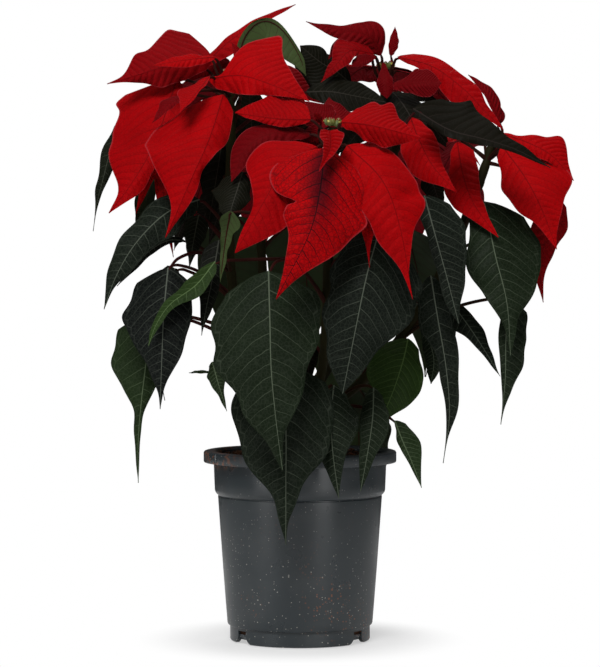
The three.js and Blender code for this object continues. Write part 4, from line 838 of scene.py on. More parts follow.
# %% Plan of the leaves
LEAVES = {
    "a": [
        seen_row("big front", [(269, 271), (270.5, 321), (272.5, 371), (276, 421), (283, 471)], (-98, -122),
            9, [51, 59, 56, 42, 29, 13], [51, 50, 40, 33, 19, 5.5], face=(0, -1, 0.25), fold=(12, 14),
            curl=(12, 12), via=(-7, -84, 269)),
        seen_row("big right", [(378, 235), (367, 279), (355, 338), (343, 394)], (-82, -104), 9,
            [29, 37, 33, 34, 27, 17], [50, 59, 56, 44, 28, 14], face=(0.1, -1, 0.3), curl=(12, 12)),
        seen_row("lowest front", [(284, 364), (286, 430), (286.5, 488), (287, 546)], (-78, -104), 8,
            [52, 51, 46, 32, 15, 6], [48, 47, 42, 26, 12, 4], face=(0, -1, 0.25), fold=(12, 14),
            curl=(10, 10), start=168),
        seen_row("low right", [(335, 385), (331.5, 416), (333, 452), (340, 499)], (-66, -84), 6,
            [5, 5, 7, 12, 12, 6.5], [17, 28, 27, 22, 13, 5], fold=(24, 14), start=152),
        seen_row("long left", [(215, 262), (196, 284), (172, 303), (157, 324), (148.5, 345)], (-66, -86), 5,
            [9, 11, 7, 5, 4.5, 2.5], [9, 11, 7, 5, 4.5, 2.5], face=(-0.3, -0.7, 0.6), fold=(16, 20),
            start=256, via=(-25, -66, 256), tone=0.75),
        seen_row("curled left", [(243, 172), (238, 188), (233, 204), (228, 220)], (-70, -88), 5,
            [20, 24, 22, 18, 13, 10], [10, 14, 15, 13, 11, 9], face=(-0.1, -1, 0.35), fold=(14, 18),
            curl=(20, 26), ink=0.8),
        seen_row("long upper right", [(413, 108), (450, 130), (483, 139), (516, 150), (551, 168)],
            (-66, -80), 5, [6, 8, 7, 6, 4, 3], [30, 35, 26, 15, 9, 4], face=(0.1, -1, 0.5), fold=(20, 14),
            start=308, via=(59, -62, 316), ink=1),
        seen_row("rolled under", [(231, 211), (227, 234), (224, 256), (221, 282)], (-90, -84), 3,
            [12, 7, 5, 3.5, 3, 2], [9, 6, 5, 3.5, 3, 2], face=(0.2, 1, 0.1), fold=(26, 26), tone=0.9,
            start=262),
    ],
    "b": [
        seen_row("over the top",
            [(240, 64), (243, 42), (256, 26), (272, 22), (288, 38), (300, 58), (306, 76)], (-22, -30), 0,
            [4, 3.5, 3, 2.5, 3, 2.5], [17, 23, 26, 26, 20, 10], face=(0, 1, 0.3), tone=1, start=340,
            via=(-36, -16, 368)),
        seen_row("under the centre", [(306, 92), (330, 92), (356, 96), (386, 103)], (-20, -22), 5,
            [8, 14, 18, 18, 13, 7], [9, 16, 15, 15, 14, 10], face=(0, -1, 0.5), start=338,
            via=(-20, -12, 362), ink=0.9),
        seen_row("far left", [(121, 118), (112, 146), (103, 180), (98, 203), (94, 231)], (4, 8), 6,
            [5, 8, 6, 6, 2, 1], [10, 10, 7, 3.5, 2, 1], face=(-0.2, -1, 0.3), fold=(20, 20), start=332,
            wave=0.09, ink=0.6),
        seen_row("upper left", [(200, 200), (168, 212), (138, 242), (117, 276), (105, 309)], (-40, -66), 7,
            [14, 18, 15, 14, 12, 5], [16, 22, 18, 14, 9, 2.5], face=(-0.1, -1, 0.3), fold=(12, 16),
            curl=(8, 8), wave=0.05),
        seen_row("rolled left", [(186, 240), (168, 240), (150, 251), (134, 268), (118, 286)], (-34, -46), 3,
            [3, 4, 5, 5, 4, 2], [3, 4, 4.5, 4, 3, 1.5], face=(0.1, -1, 0.4), fold=(10, 10), tone=0.08,
            ink=0.3),
        seen_row("big left", [(168, 268), (165, 312), (161.5, 362), (161, 409)], (-56, -80), 8,
            [33, 41, 37, 26, 13, 4.5], [26, 27, 26, 21, 11, 3.5], face=(-0.1, -1, 0.3), curl=(10, 10),
            start=250, via=(-68, -48, 270), tone=0.03),
        seen_row("lower left", [(150, 315), (147.5, 357), (142, 400), (139, 441), (138.5, 484)], (-34, -50),
            6, [34, 34, 22, 6, 5, 2], [20, 20, 12, 4, 2.5, 1.5], face=(-0.1, -1, 0.3), start=205, wave=0.05,
            tone=0.45),
        seen_row("inner left", [(220, 240), (213, 279), (207, 310), (202, 336)], (-50, -62), 5,
            [14, 14.5, 12.5, 8.5, 5, 2.5], [7, 8, 8, 7.5, 4.5, 1.5], face=(0.1, -1, 0.2), ink=0.5),
        row("inner hanging", seen_at(200, 215, -30), seen_at(190, 270, -40), 16, arch=4, ink=0.7),
        row("inner centre", seen_at(226, 112, -4), seen_at(208, 232, -22), 38, face=(0.2, -1, 0.3),
            start=330, ink=0.9),
        seen_row("small low side", [(214, 372), (202, 371), (189, 373)], (-30, -42), 2,
            [2.5, 3, 3, 2.5, 2, 1], [2, 2.5, 2.5, 2.5, 1.5, 1], face=(-0.2, -0.6, 0.9), tone=0.5),
        seen_row("small low", [(212, 362), (218, 382), (226.5, 411)], (-34, -48), 3, [5, 9, 8.5, 6.5, 4, 2],
            [7, 9, 8.5, 5.5, 3, 1.5], tone=0.4),
        row("side left upper", (-96, 14, 330), (-110, 24, 252), 36, face=(-1, 0.2, 0.3), arch=9, peak=0.35),
        row("side left", (-84, 6, 250), (-92, 14, 160), 48, face=(-1, 0, 0.3), arch=9, peak=0.35),
        row("left back", (-92, 44, 330), (-104, 58, 264), 30, face=(-0.9, 0.4, 0.3), arch=11, peak=0.35),
        row("left back low", (-92, 55, 252), (-100, 66, 166), 40, face=(-0.9, 0.5, 0.3), arch=11,
            peak=0.35),
        row("left low", (-92, 6, 218), (-106, 10, 160), 30, face=(-1, 0, 0.3), arch=11, peak=0.35,
            start=196),
        painted_shade_row("in the shade", (-58, 14, 302), (-69, 18, 272), 17, start=282, ink=1),
        painted_shade_row("left in the shade", (-75, 14, 289), (-86, 20, 262), 13, start=262, ink=1),
        painted_shade_row("middle in the shade", (-51, 14, 297), (-62, 18, 266), 16, start=278, ink=1),
    ],
    "c": [
        seen_row("upper left", [(352, 84), (337, 72), (321, 62), (301, 47)], (28, 16), 4,
            [8, 12, 13, 13, 12, 11], [14, 24, 28, 26, 20, 12], face=(-0.1, -1, 0.5), fold=(8, 10),
            curl=(10, 14), start=350, via=(41, 36, 369), ink=0.9),
        row("inner top", seen_at(392, 92, 4), seen_at(428, 162, -24), 30, face=(0.2, -1, 0.6), start=350,
            ink=0.9),
        painted_shade_row("in the shade", (10, 36, 370), (-7, 34, 400), 14, start=352, ink=1),
        painted_shade_row("right in the shade", (71, 30, 374), (98, 34, 361), 13, start=352, ink=1),
    ],
    "d": [
        seen_row("upper front", [(424, 195), (437, 239), (447.5, 280), (458.8, 323)], (-56, -80), 6,
            [10, 8, 8.5, 8.5, 8, 6.5], [27, 31, 28.5, 22.5, 16, 7], face=(0.1, -1, 0.25), fold=(22, 12)),
        seen_row("long front", [(432, 275), (438, 319), (446, 367), (450.5, 415), (444, 464)], (-42, -64),
            8, [17, 19, 8, 7, 4, 1.2], [14, 15, 14, 12, 8, 1.5], tone=0.1),
        seen_row("big far right", [(485, 201), (496, 254), (508, 303), (511.7, 355)], (-28, -60), 7,
            [20, 27, 29.5, 21, 12, 3.5], [44, 48, 43.5, 34, 16, 6], face=(0.1, -1, 0.3), curl=(10, 10),
            tone=0.25),
        seen_row("low far right", [(510, 298), (506, 338), (506, 381), (502, 424)], (-24, -44), 6,
            [6.5, 7.5, 7, 5, 3, 1], [20.5, 21, 19, 17, 8, 3], face=(0.1, -1, 0.25), wave=0.05),
        seen_row("narrow right", [(452, 303), (469, 325), (485, 350), (501, 377)], (-14, -26), 3,
            [16, 14, 9, 6, 4, 2], [8, 10, 10, 8, 5, 2], face=(0.1, -1, 0.5)),
        seen_row("inner right", [(409, 338), (404, 362), (394, 392), (378, 428)], (-22, -44), 6,
            [22, 34, 36, 30, 20, 8], [14, 20, 25, 26, 20, 9], face=(0.15, -1, 0.3), start=190, tone=1),
        seen_row("inner narrow", [(425, 325), (431, 345), (434, 362), (432, 384)], (-12, -26), 4,
            [6, 8, 9, 9, 8, 5], [8, 10, 10, 9, 8, 5], start=186),
        seen_row("low front", [(374, 388), (372.5, 417), (369, 449), (360.5, 491)], (-58, -78), 6,
            [10, 12.5, 11, 10, 8, 4.5], [11, 16, 18.5, 14, 8.5, 4.5], start=160),
        seen_row("small low", [(395, 420), (404, 442), (413, 464), (423, 488)], (-50, -64), 4,
            [2.5, 5, 5, 4, 3.3, 1.8], [10.5, 14.5, 15.5, 13, 8.5, 3.5], fold=(16, 10), start=156,
            tone=0.45),
        row("side right upper", (116, 24, 296), (148, 42, 230), 36, face=(0.9, 0.3, 0.4), arch=10,
            peak=0.35),
        row("side right", (98, 8, 264), (98, 16, 166), 46, face=(1, 0, 0.3), arch=9, peak=0.35),
        row("right back", (122, 40, 268), (146, 46, 180), 40, face=(0.9, 0.3, 0.3), arch=11, peak=0.35),
        row("right back low", (80, 48, 228), (88, 64, 174), 32, face=(0.9, 0.5, 0.3), arch=11, peak=0.35,
            start=172),
        row("back low", (42, 44, 166), (54, 62, 84), 36, face=(0.7, 0.7, 0.3), arch=11, peak=0.35,
            start=162),
    ],
    "e": [
        row("back upper", (4, 112, 285), (6, 138, 176), 60, face=(0, 1, 0.35), arch=11, peak=0.35),
        row("back left upper", (-50, 98, 288), (-42, 126, 172), 54, face=(-0.4, 0.9, 0.35), arch=11,
            peak=0.35),
        row("back", (-22, 81, 220), (-26, 108, 102), 60, face=(-0.3, 1, 0.35), arch=11, peak=0.35,
            start=190),
        row("back low", (-22, 58, 168), (-30, 84, 80), 38, face=(-0.3, 0.9, 0.35), arch=11, peak=0.35,
            start=172),
        painted_shade_row("in the shade", (-33, 56, 338), (-36, 46, 386), 30, start=322, ink=1),
        painted_shade_row("low in the shade", (-10, 62, 350), (38, 56, 332), 22, start=326, ink=1),
        painted_shade_row("right in the shade", (31, 22, 354), (22, 24, 320), 17, start=330, ink=1),
    ],
    "f": [
        row("back upper", (73, 93, 280), (90, 115, 172), 58, face=(0.6, 0.8, 0.35), arch=11, peak=0.35),
        row("back", (33, 82, 212), (42, 106, 92), 60, face=(0.4, 0.9, 0.35), arch=11, peak=0.35, start=192),
        row("back low", (8, 60, 162), (9, 86, 74), 42, face=(0.1, 1, 0.35), arch=11, peak=0.35, start=178),
        seen_row("front left", [(388, 114), (368, 124), (352, 140), (340, 162)], (64, 44), 4,
            [8, 12, 12, 10, 7, 4], [8, 13, 13, 10, 7, 4], face=(0, -1, 0.4), start=318, ink=1),
        painted_shade_row("in the shade", (83, 60, 357), (107, 60, 330), 15, start=326, ink=1),
        painted_shade_row("right in the shade", (89, 50, 316), (99, 54, 287), 17, start=296, ink=1),
        painted_shade_row("low in the shade", (7, 38, 201), (5, 40, 164), 13, start=184, ink=1),
        painted_shade_row("middle in the shade", (43, 30, 285), (33, 34, 257), 16, start=262, ink=1),
    ],
}
print("leaves:", {key: len(rows) for key, rows in LEAVES.items()})

# %% [markdown]
# ## Shape of a blade
# A blade hangs on its midrib, an arc from base to tip. At each place along it, the section
# runs out to both sides along a bent line, which droops from the midrib and curls under.
# Its width follows the square root of u times (1 - u)^taper, where u is the share of the way
# from base to tip. That is blunt at the base and drawn out at the tip. A blade whose row
# gives half-widths follows those instead. On this plain form lie three small things that
# make it a leaf: the margin waves, the blade swells between its side veins, and the midrib
# lies in a groove. It is 0.5 mm thick at the midrib and less than half that at the margin.

# %% Blade surface
ROWS, COLUMNS = 54, 22
THICK_RIB, THICK_MARGIN = 0.5 * MM, 0.22 * MM
LEAST_HALF_WIDTH = 0.25 * MM
SHOULDER = 0.08  # share of the length in which a blade with edges widens from its base
ROOT = 0.5  # power of u near the base, 0.5 for a round one
LOBE_DEPTH = 0.035  # how far each half swells and narrows along the blade, as a share of it
SWELL = 0.16 * MM  # how high the blade rises between its side veins
GROOVE_DEPTH, GROOVE_WIDTH = 0.45 * MM, 1.5 * MM


def arc(form):
    """Base, control point and tip of a blade's midrib in metres, and its sideways direction.
    The control point lies at the peak share of the chord, raised by twice the arch along
    the way the blade faces."""
    base, tip = np.array(form["base"], float), np.array(form["tip"], float)
    chord = tip - base
    ahead = unit(chord)
    face = np.array(form["face"], float)
    up = unit(face - ahead * (face @ ahead))
    side = np.cross(up, ahead)
    control = base + chord * form["peak"] + up * (2 * form["arch"])
    return base * MM, control * MM, tip * MM, side


def quadratic(start, bend, end, t):
    """Points of a quadratic Bezier arc."""
    t = np.asarray(t)[..., None]
    return start * (1 - t) ** 2 + bend * (2 * t * (1 - t)) + end * t**2


def midrib_frame(form, u):
    """Points of the midrib at shares u, with the sideways and upward directions there. A
    midrib with a spine passes through its points, and any other is the plain arc."""
    base, control, tip, side = arc(form)
    if form["spine"]:
        knots = [base, *np.array(form["spine"], float) * MM, tip]
        point = curve_through(knots, u)
        tangent = unit(curve_through(knots, u + 0.01) - curve_through(knots, u - 0.01))
        across = unit(np.cross(np.array(form["face"], float), tangent))
    else:
        point = quadratic(base, control, tip, u)
        tangent = unit((control - base) * (1 - u)[:, None] + (tip - control) * u[:, None])
        across = unit(side - tangent * (tangent @ side)[:, None])
    return point, across, np.cross(tangent, across)


def half_widths(form, u):
    """Half-width of the blade at shares u, left and right. A blade with edges has six
    widths a side, at even steps, with a smooth curve through them and a round shoulder at
    the base. Any other has the breadth formula, 1 at the widest place. Either loses its
    notch, a bell-shaped bite."""
    inside = np.clip(u, 0, 1)
    if form["edges"]:
        shoulder = np.sqrt(np.clip(inside / SHOULDER, 0, 1))
        halves = [shoulder * MM * curve_through([[0.7 * edge[0]], *[[w] for w in edge], [0]], inside)[:, 0]
                  for edge in form["edges"]]
    else:
        widest = ROOT / (ROOT + form["taper"])
        breadth = (inside / widest) ** ROOT * ((1 - inside) / (1 - widest)) ** form["taper"]
        halves = [breadth * form["width"] / 2 * MM for _ in range(2)]
    if form["notch"]:
        side, place, depth, length = form["notch"]
        halves[0 if side < 0 else 1] *= 1 - depth * np.exp(-(((u - place) / length) ** 2))
    return [np.maximum(half, LEAST_HALF_WIDTH) for half in halves]


def vein_count(u, reach):
    """The running count of side veins, as the vein group has it."""
    held = u - reach * VEIN_STEEPNESS - VEIN_SWEEP * reach**2
    return held + VEIN_CROWDING * held**3


def blade(form, seed, veins):
    """One blade as a closed thin solid: points, faces and what its material reads."""
    draw = np.random.default_rng(seed)
    u = (np.arange(ROWS) / (ROWS - 1)) ** 1.5
    u = 0.6 * u + 0.4 * np.arange(ROWS) / (ROWS - 1)
    t = np.linspace(-1, 1, COLUMNS + 1)
    v = np.sign(t) * (0.35 * np.abs(t) + 0.65 * np.abs(t) ** 1.25)
    point, across, normal = midrib_frame(form, u)
    left, right = half_widths(form, u)
    lobes, turn = draw.uniform(2.5, 4.5, 2), draw.uniform(0, 6.3, 2)
    left = left * (1 + LOBE_DEPTH * np.sin(2 * np.pi * lobes[0] * u + turn[0]))
    right = right * (1 + LOBE_DEPTH * np.sin(2 * np.pi * lobes[1] * u + turn[1]))
    length = np.linalg.norm(np.diff(point, axis=0), axis=1).sum()

    half = np.where(v < 0, left[:, None], right[:, None])
    side = np.sign(v)
    fold = np.radians(np.where(v < 0, *form["fold"]))
    curl = np.maximum(np.radians(np.where(v < 0, *form["curl"])), LEAST_CURL)
    slope = fold + curl * np.abs(v)
    out = (np.sin(slope) - np.sin(fold)) / curl * side
    lift = (np.cos(slope) - np.cos(fold)) / curl
    middle = (point[:, None] + across[:, None] * (half * out)[..., None]
              + normal[:, None] * (half * lift)[..., None])
    face = (normal[:, None] * np.cos(slope)[None, :, None]
            + across[:, None] * (np.sin(slope) * side)[None, :, None])

    size = np.abs(v)[None, :]
    reach = half * size / length
    waves, phase = draw.uniform(2.2, 3.6), draw.uniform(0, 6.3, 2)
    margin = np.sin(2 * np.pi * waves * u[:, None] + np.where(v < 0, *phase))
    envelope = np.sin(np.pi * np.clip(u, 0.02, 0.98))[:, None] ** 0.7
    ripple = margin * envelope * size**2.5 * form["wave"] * form["width"] * MM
    if form["dent"]:
        dented, place, depth, reach_along = form["dent"]
        bend = np.exp(-(((u[:, None] - place) / reach_along) ** 2)) * (np.sign(v) == dented)
        ripple = ripple - bend * size * (1.6 - size) * depth * MM
    pillow = -np.cos(2 * np.pi * (vein_count(u[:, None], reach) * veins + np.where(v < 0, 0.0, OTHER_HALF)))
    pillow = -pillow * envelope * (size * (1 - size) * 4) * SWELL
    groove = -GROOVE_DEPTH * np.exp(-((half * size / GROOVE_WIDTH) ** 2)) * envelope
    middle = middle + face * (ripple + pillow + groove)[..., None]

    thick = (THICK_RIB + (THICK_MARGIN - THICK_RIB) * size)[..., None] / 2
    sheets = np.stack([middle + face * thick, middle - face * thick])
    faces = grid_quads(ROWS, COLUMNS + 1)
    count = ROWS * (COLUMNS + 1)
    ring = np.concatenate([np.arange(COLUMNS + 1), (COLUMNS + 1) * np.arange(1, ROWS) + COLUMNS,
                           count - 2 - np.arange(COLUMNS), (COLUMNS + 1) * np.arange(ROWS - 2, 0, -1)])
    after = np.roll(ring, -1)
    rim = np.stack([ring, after, after + count, ring + count], -1)
    quads = np.concatenate([faces, faces[:, ::-1] + count, rim])

    def at_points(*numbers):
        """The same three numbers, or grids of them, at every point of both sheets."""
        shape = (2, ROWS, COLUMNS + 1)
        return np.stack([np.broadcast_to(n, shape) for n in numbers], -1).reshape(-1, 3)

    tone = form["tone"] if form["tone"] is not None else draw.uniform(0.0, 0.25)
    # The third number of blade_look is the row's painted shade, which the materials paint onto the blade.
    values = {
        "blade_map": at_points(u[:, None], half * v, size),
        "blade_look": at_points(length, tone, form["ink"]),
        "blade_face": at_points(np.array([0.0, 1.0])[:, None, None], 0.0, 0.0),
    }
    return sheets, quads, values


# %% [markdown]
# ## Stalks
# Each blade's stalk leaves the shoot a little below it, rises, and bends over into the
# blade's base. It doesn't stop there: it runs on beneath the blade as the raised midrib,
# thinner and thinner towards the tip, so the underside is true from below as well.

# %% Stalk surface
STALK_RINGS, STALK_SIDES = 46, 7


def parameter_at(knots, height):
    """The parameter at which a rising curve passes a height, found on a fine table of it."""
    t = np.linspace(0, 1, 2001)
    return np.interp(height, curve_through(knots, t)[:, 2], t)


def stalk_part(form, knots, start_height, radius, redness):
    """The stalk and the raised midrib of one blade, as one tapering tube."""
    start = curve_through(knots, np.array([parameter_at(knots, form["start"] or start_height)]))[0]
    base = np.array(form["base"], float)
    lift = min(16, np.linalg.norm(base - start) / 7)
    bend = np.array(form["via"], float) if form["via"] else start * 0.45 + base * 0.55 + (0, 0, lift)
    free = quadratic(start, bend, base, np.array([0, 0.15, 0.3, 0.45, 0.6, 0.75, 0.88])) * MM
    u = np.array([0.03, 0.10, 0.2, 0.32, 0.45, 0.58, 0.7, 0.82, 0.9])
    point, across, normal = midrib_frame(form, u)
    rib_radius = radius * np.interp(u, [0, 0.06, 0.9], [0.6, 0.4, 0.12])
    sunk = np.interp(u, [0, 0.05], [0.5, 1]) * (THICK_RIB / 2 + GROOVE_DEPTH) + rib_radius * 0.15
    under = point - normal * sunk[:, None]
    t = np.linspace(0, 1, STALK_RINGS)
    path = curve_through(np.concatenate([free, under]), t)
    thin = np.interp(t, [0, 0.08, 0.40, 0.47, 1], [1.45, 1.0, 0.8, 0.45, 0.12]) * radius
    points, quads = tube(path, thin, STALK_SIDES)
    rings = len(path) + 2
    red = np.clip(np.linspace(redness - 0.25, redness + 0.15, rings), 0, 1)
    look = np.zeros((rings, STALK_SIDES, 3))
    look[..., 0] = red[:, None]
    return points, quads, {"stalk_look": look.reshape(-1, 3)}


# %% [markdown]
# ## Flower buds
# The true flowers of a poinsettia are small green cups in the middle of each head. Each has
# a yellow gland like a tiny mouth on its side and red threads in its open top. A cup is a
# ridged egg, cut off at the top: its radius follows the height, with five low ribs round it.

# %% Bud surfaces
CUP_RADIUS, CUP_HEIGHT = 2.0 * MM, 5.6 * MM
CUP_RING = 3.3 * MM  # how far the outer cups stand from the middle one
OUTER_CUPS, THREADS = 5, 3


def ball(centre, sizes, turn, rings=6, sides=8):
    """A closed egg of three half-sizes round a centre, its own axes given by turn's columns."""
    polar = np.linspace(0, np.pi, rings)[:, None]
    angle = np.linspace(0, 2 * np.pi, sides, endpoint=False)[None, :]
    shape = np.stack(np.broadcast_arrays(np.sin(polar) * np.cos(angle), np.sin(polar) * np.sin(angle),
                                         np.cos(polar)), -1)
    return centre + (shape * sizes) @ turn.T, grid_quads(rings, sides, wrap=True)[:, ::-1]


def cup(foot, turn, size):
    """A bud's cup: a profile from the foot up, over the rim and down into the mouth, turned
    round, with five ribs."""
    radius = np.array([0.0, 0.45, 0.85, 1.0, 0.98, 0.86, 0.72, 0.66, 0.52, 0.0]) * CUP_RADIUS
    height = np.array([0.0, 0.02, 0.18, 0.40, 0.62, 0.82, 0.95, 1.0, 0.93, 0.86]) * CUP_HEIGHT
    angle = np.linspace(0, 2 * np.pi, 20, endpoint=False)
    ribs = 1 + 0.07 * np.cos(5 * angle)[None, :] * np.sin(np.pi * np.linspace(0, 1, 10))[:, None]
    shape = np.stack([radius[:, None] * ribs * np.cos(angle), radius[:, None] * ribs * np.sin(angle),
                      np.broadcast_to(height[:, None], ribs.shape)], -1) * size
    return foot + shape @ turn.T, grid_quads(10, 20, wrap=True)


def turn_to(axis, spin):
    """A turn that takes +Z to an axis, after a spin about Z, as columns."""
    axis = unit(np.asarray(axis, float))
    first = unit(np.cross((0.2, 1.0, 0.1), axis))
    second = np.cross(axis, first)
    first, second = (first * np.cos(spin) + second * np.sin(spin),
                     second * np.cos(spin) - first * np.sin(spin))
    return np.stack([first, second, axis], -1)


def bud_cluster(top, axis, seed):
    """One cup in the middle and five round it, each with its gland and three red threads."""
    draw = np.random.default_rng(seed)
    whole = turn_to(axis, draw.uniform(0, 6.3))
    parts = []

    def look(points, yellow, red):
        """How yellow and how red every point of a part is."""
        numbers = np.zeros((points.size // 3, 3))
        numbers[:, 0], numbers[:, 1] = yellow, red
        return {"bud_look": numbers}

    for k in range(OUTER_CUPS + 1):
        angle = 2 * np.pi * k / OUTER_CUPS + draw.uniform(-0.2, 0.2)
        ring, slant = (CUP_RING, 0.32) if k < OUTER_CUPS else (0.0, 0.0)
        lean = np.array([slant * np.cos(angle), slant * np.sin(angle), 1.0])
        size = draw.uniform(0.75, 1.0)
        rise = draw.uniform(0.2, 1.0) * MM
        foot = top + whole @ np.array([ring * np.cos(angle), ring * np.sin(angle), rise])
        turn = turn_to(whole @ lean, angle)
        points, quads = cup(foot, turn, size)
        parts.append((points, quads, look(points, 0.05 + 0.25 * (k % 2), 0.0)))
        outward = unit(whole @ np.array([np.cos(angle), np.sin(angle), 0.0]))
        gland = foot + turn[:, 2] * 0.72 * CUP_HEIGHT * size + outward * CUP_RADIUS * size * 0.95
        mouth = turn_to(outward + turn[:, 2] * 0.4, 0.0)
        points, quads = ball(gland, np.array([0.9, 1.3, 0.55]) * MM * size, mouth)
        parts.append((points, quads, look(points, 1.0, 0.0)))
        for j in range(THREADS):
            way = 2 * np.pi * j / THREADS + angle
            aside = np.array([0.7 * MM * np.cos(way), 0.7 * MM * np.sin(way), CUP_HEIGHT * size])
            tip = foot + turn @ aside
            points, quads = ball(tip, np.array([0.35, 0.35, 1.0]) * MM * size, turn)
            parts.append((points, quads, look(points, 0.4, 1.0 if j else 0.3)))
    return joined(parts)


# %% [markdown]
# ## Building the six shoots
# Each shoot gives six pieces: the stem, the leaf blades and their stalks, the bract blades
# and theirs, and the buds. They take the place of the shoot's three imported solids.

# %% Shoots
STEM_RADIUS, FORK_RADIUS, HUB_RADIUS = 3.2, 3.9, 2.7
LEAF_STALK_RADIUS, BRACT_STALK_RADIUS = 1.3 * MM, 1.15 * MM
JOINT_STEP, JOINT_WIDTH = 22 * MM, 1.6 * MM
LEAF_DROP = 22  # millimetres from a leaf's base down to where its stalk leaves the shoot
BRACT_LEVELS = 5


def stem_part(path, radii, redness, sides=14):
    """A stem as a tube, with a low swelling every 22 mm where leaves join or once joined."""
    run = np.concatenate([[0], np.cumsum(np.linalg.norm(np.diff(path, axis=0), axis=1))])
    joints = 1 + 0.13 * np.exp(-((run % JOINT_STEP - JOINT_STEP / 2) / JOINT_WIDTH) ** 2)
    points, quads = tube(path, radii * joints, sides)
    outward = (points - points.mean(1, keepdims=True)) / (3 * MM)
    points = points + (wobble(points, 9 * MM, 5)[..., None] * 0.12 * MM) * outward
    look = np.zeros((points.size // 3, 3))
    look[:, 0] = redness
    return points, quads, {"stalk_look": look}


def build_shoot(key, seed):
    """The six pieces of one shoot."""
    knots, head, fork = SHOOTS[key]
    knots = np.array(knots, float)
    fork_end = fork / (len(knots) - 1)
    t = np.linspace(fork_end + 0.004, 1, 90)
    path = curve_through(knots, t) * MM
    radii = np.interp(path[:, 2], [head * MM, (head + 4) * MM], [STEM_RADIUS, HUB_RADIUS]) * MM
    make_piece(f"stem_{key}", stem_part(path, radii, 0.12), stalk, [f"leafy_stem_{key}"])
    lowest = path[0, 2] / MM + 8
    bract_high, bract_low = knots[-1][2] - 10, head + 3
    kinds = (("leaf", LEAVES[key], leaf, "leaf", LEAF_STALK_RADIUS, f"leafy_stem_{key}"),
             ("bract", BRACTS[key], bract, "bract", BRACT_STALK_RADIUS, f"bract_head_{key}"))
    for kind, rows, material, slot, radius, node in kinds:
        blades, stalks = [], []
        for index, form in enumerate(rows):
            number = seed * 100 + index + (50 if kind == "bract" else 0)
            level = (index % BRACT_LEVELS) / (BRACT_LEVELS - 1)
            start = bract_high + level * (bract_low - bract_high)
            if kind == "leaf":
                start = max(form["base"][2] - LEAF_DROP, lowest)
            blades.append(blade(form, number, LEAF_VEINS if kind == "leaf" else BRACT_VEINS))
            redness = np.random.default_rng(number).uniform(0.45, 1.0) if kind == "leaf" else 0.85
            stalks.append(stalk_part(form, knots, start, radius, redness))
        make_piece(f"{kind}_blades_{key}", joined(blades), material, [node])
        make_piece(f"{kind}_stalks_{key}", joined(stalks), stalk, [node])
    end = curve_through(knots, np.array([0.999, 1.0]))
    buds = bud_cluster(end[1] * MM + unit(end[1] - end[0]) * 0.3 * MM, end[1] - end[0], seed)
    make_piece(f"buds_{key}", buds, bud, [f"cyathia_{key}"])


for seed, key in enumerate(SHOOTS):
    build_shoot(key, seed + 1)

# %% [markdown]
# ## The old stem
# Below the shoots the stem is wood. Its trunk and its six forks are tubes that run into
# each other, and the forks end where the green shoots start.

# %% Old stem
trunk_path = curve_through(TRUNK, np.linspace(0, 1, 80)) * MM
trunk_radii = np.interp(np.linspace(0, 1, 80), [0, 0.6, 1], [5.2, 5.0, 4.6]) * MM
parts = [stem_part(trunk_path, trunk_radii, 0.0, sides=24)]
for key, (knots, head, fork) in SHOOTS.items():
    path = curve_through(knots, np.linspace(0, fork / (len(knots) - 1), 24)) * MM
    parts.append(stem_part(path, np.full(24, FORK_RADIUS * MM), 0.0))
make_piece("old_stem", joined(parts), wood, ["main_stem"])

# %% [markdown]
# ## Peat
# The peat's top is a disc of rings with a low crown. Waves of three sizes lump it, and
# twenty-odd hundred loose crumbs lie half sunk in it, so that no smooth ground shows. A
# crumb is a twenty-sided ball with its corners pushed in and out at random.

# %% Peat surface
SOIL_LEVEL, SOIL_EDGE = 122 * MM, 56.0 * MM
SOIL_SIDE = [(55.6, 119.0), (55.0, 100.4), (53.0, 97.4), (45.4, 4.9), (0.0, 4.9)]  # radius, height in mm
SOIL_SIDES = 160
LIP_INSIDE = 56.5 * MM


def soil_height(x, y):
    """Height of the heaped peat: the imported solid's crown and lumps, and finer ones."""
    far = np.hypot(x, y) / LIP_INSIDE
    a, b = x / MM, y / MM
    lumps = np.sin(a * 0.42 + 1.3) * np.cos(b * 0.37 - 0.4) + 0.6 * np.sin(a * 0.83 - b * 0.71)
    fine = wobble(np.stack([x, y, 0 * x], -1), 7 * MM, 11, 4)
    rise = 2.2 * (1 - far**2) + 1.6 * lumps * np.clip(2.5 * (1 - far), 0, 1) + 0.7 * fine
    return SOIL_LEVEL + rise * MM


def soil_plug():
    """The peat as one closed solid: rings over the top, then down the side and in below."""
    angle = np.linspace(0, 2 * np.pi, SOIL_SIDES, endpoint=False)[None, :]
    over = np.linspace(0, 1, 64)[:, None] * SOIL_EDGE
    x, y = over * np.cos(angle), over * np.sin(angle)
    top = np.stack([x, y, soil_height(x, y)], -1)
    radius, height = np.array(SOIL_SIDE).T[:, :, None] * MM
    side = np.broadcast_arrays(radius * np.cos(angle), radius * np.sin(angle), height + 0 * angle)
    points = np.concatenate([top, np.stack(side, -1)])
    quads = grid_quads(len(points), SOIL_SIDES, wrap=True)
    look = np.zeros((points.size // 3, 3))
    look[:, 0] = 0.35
    return points, quads[:, ::-1], {"crumb_look": look}


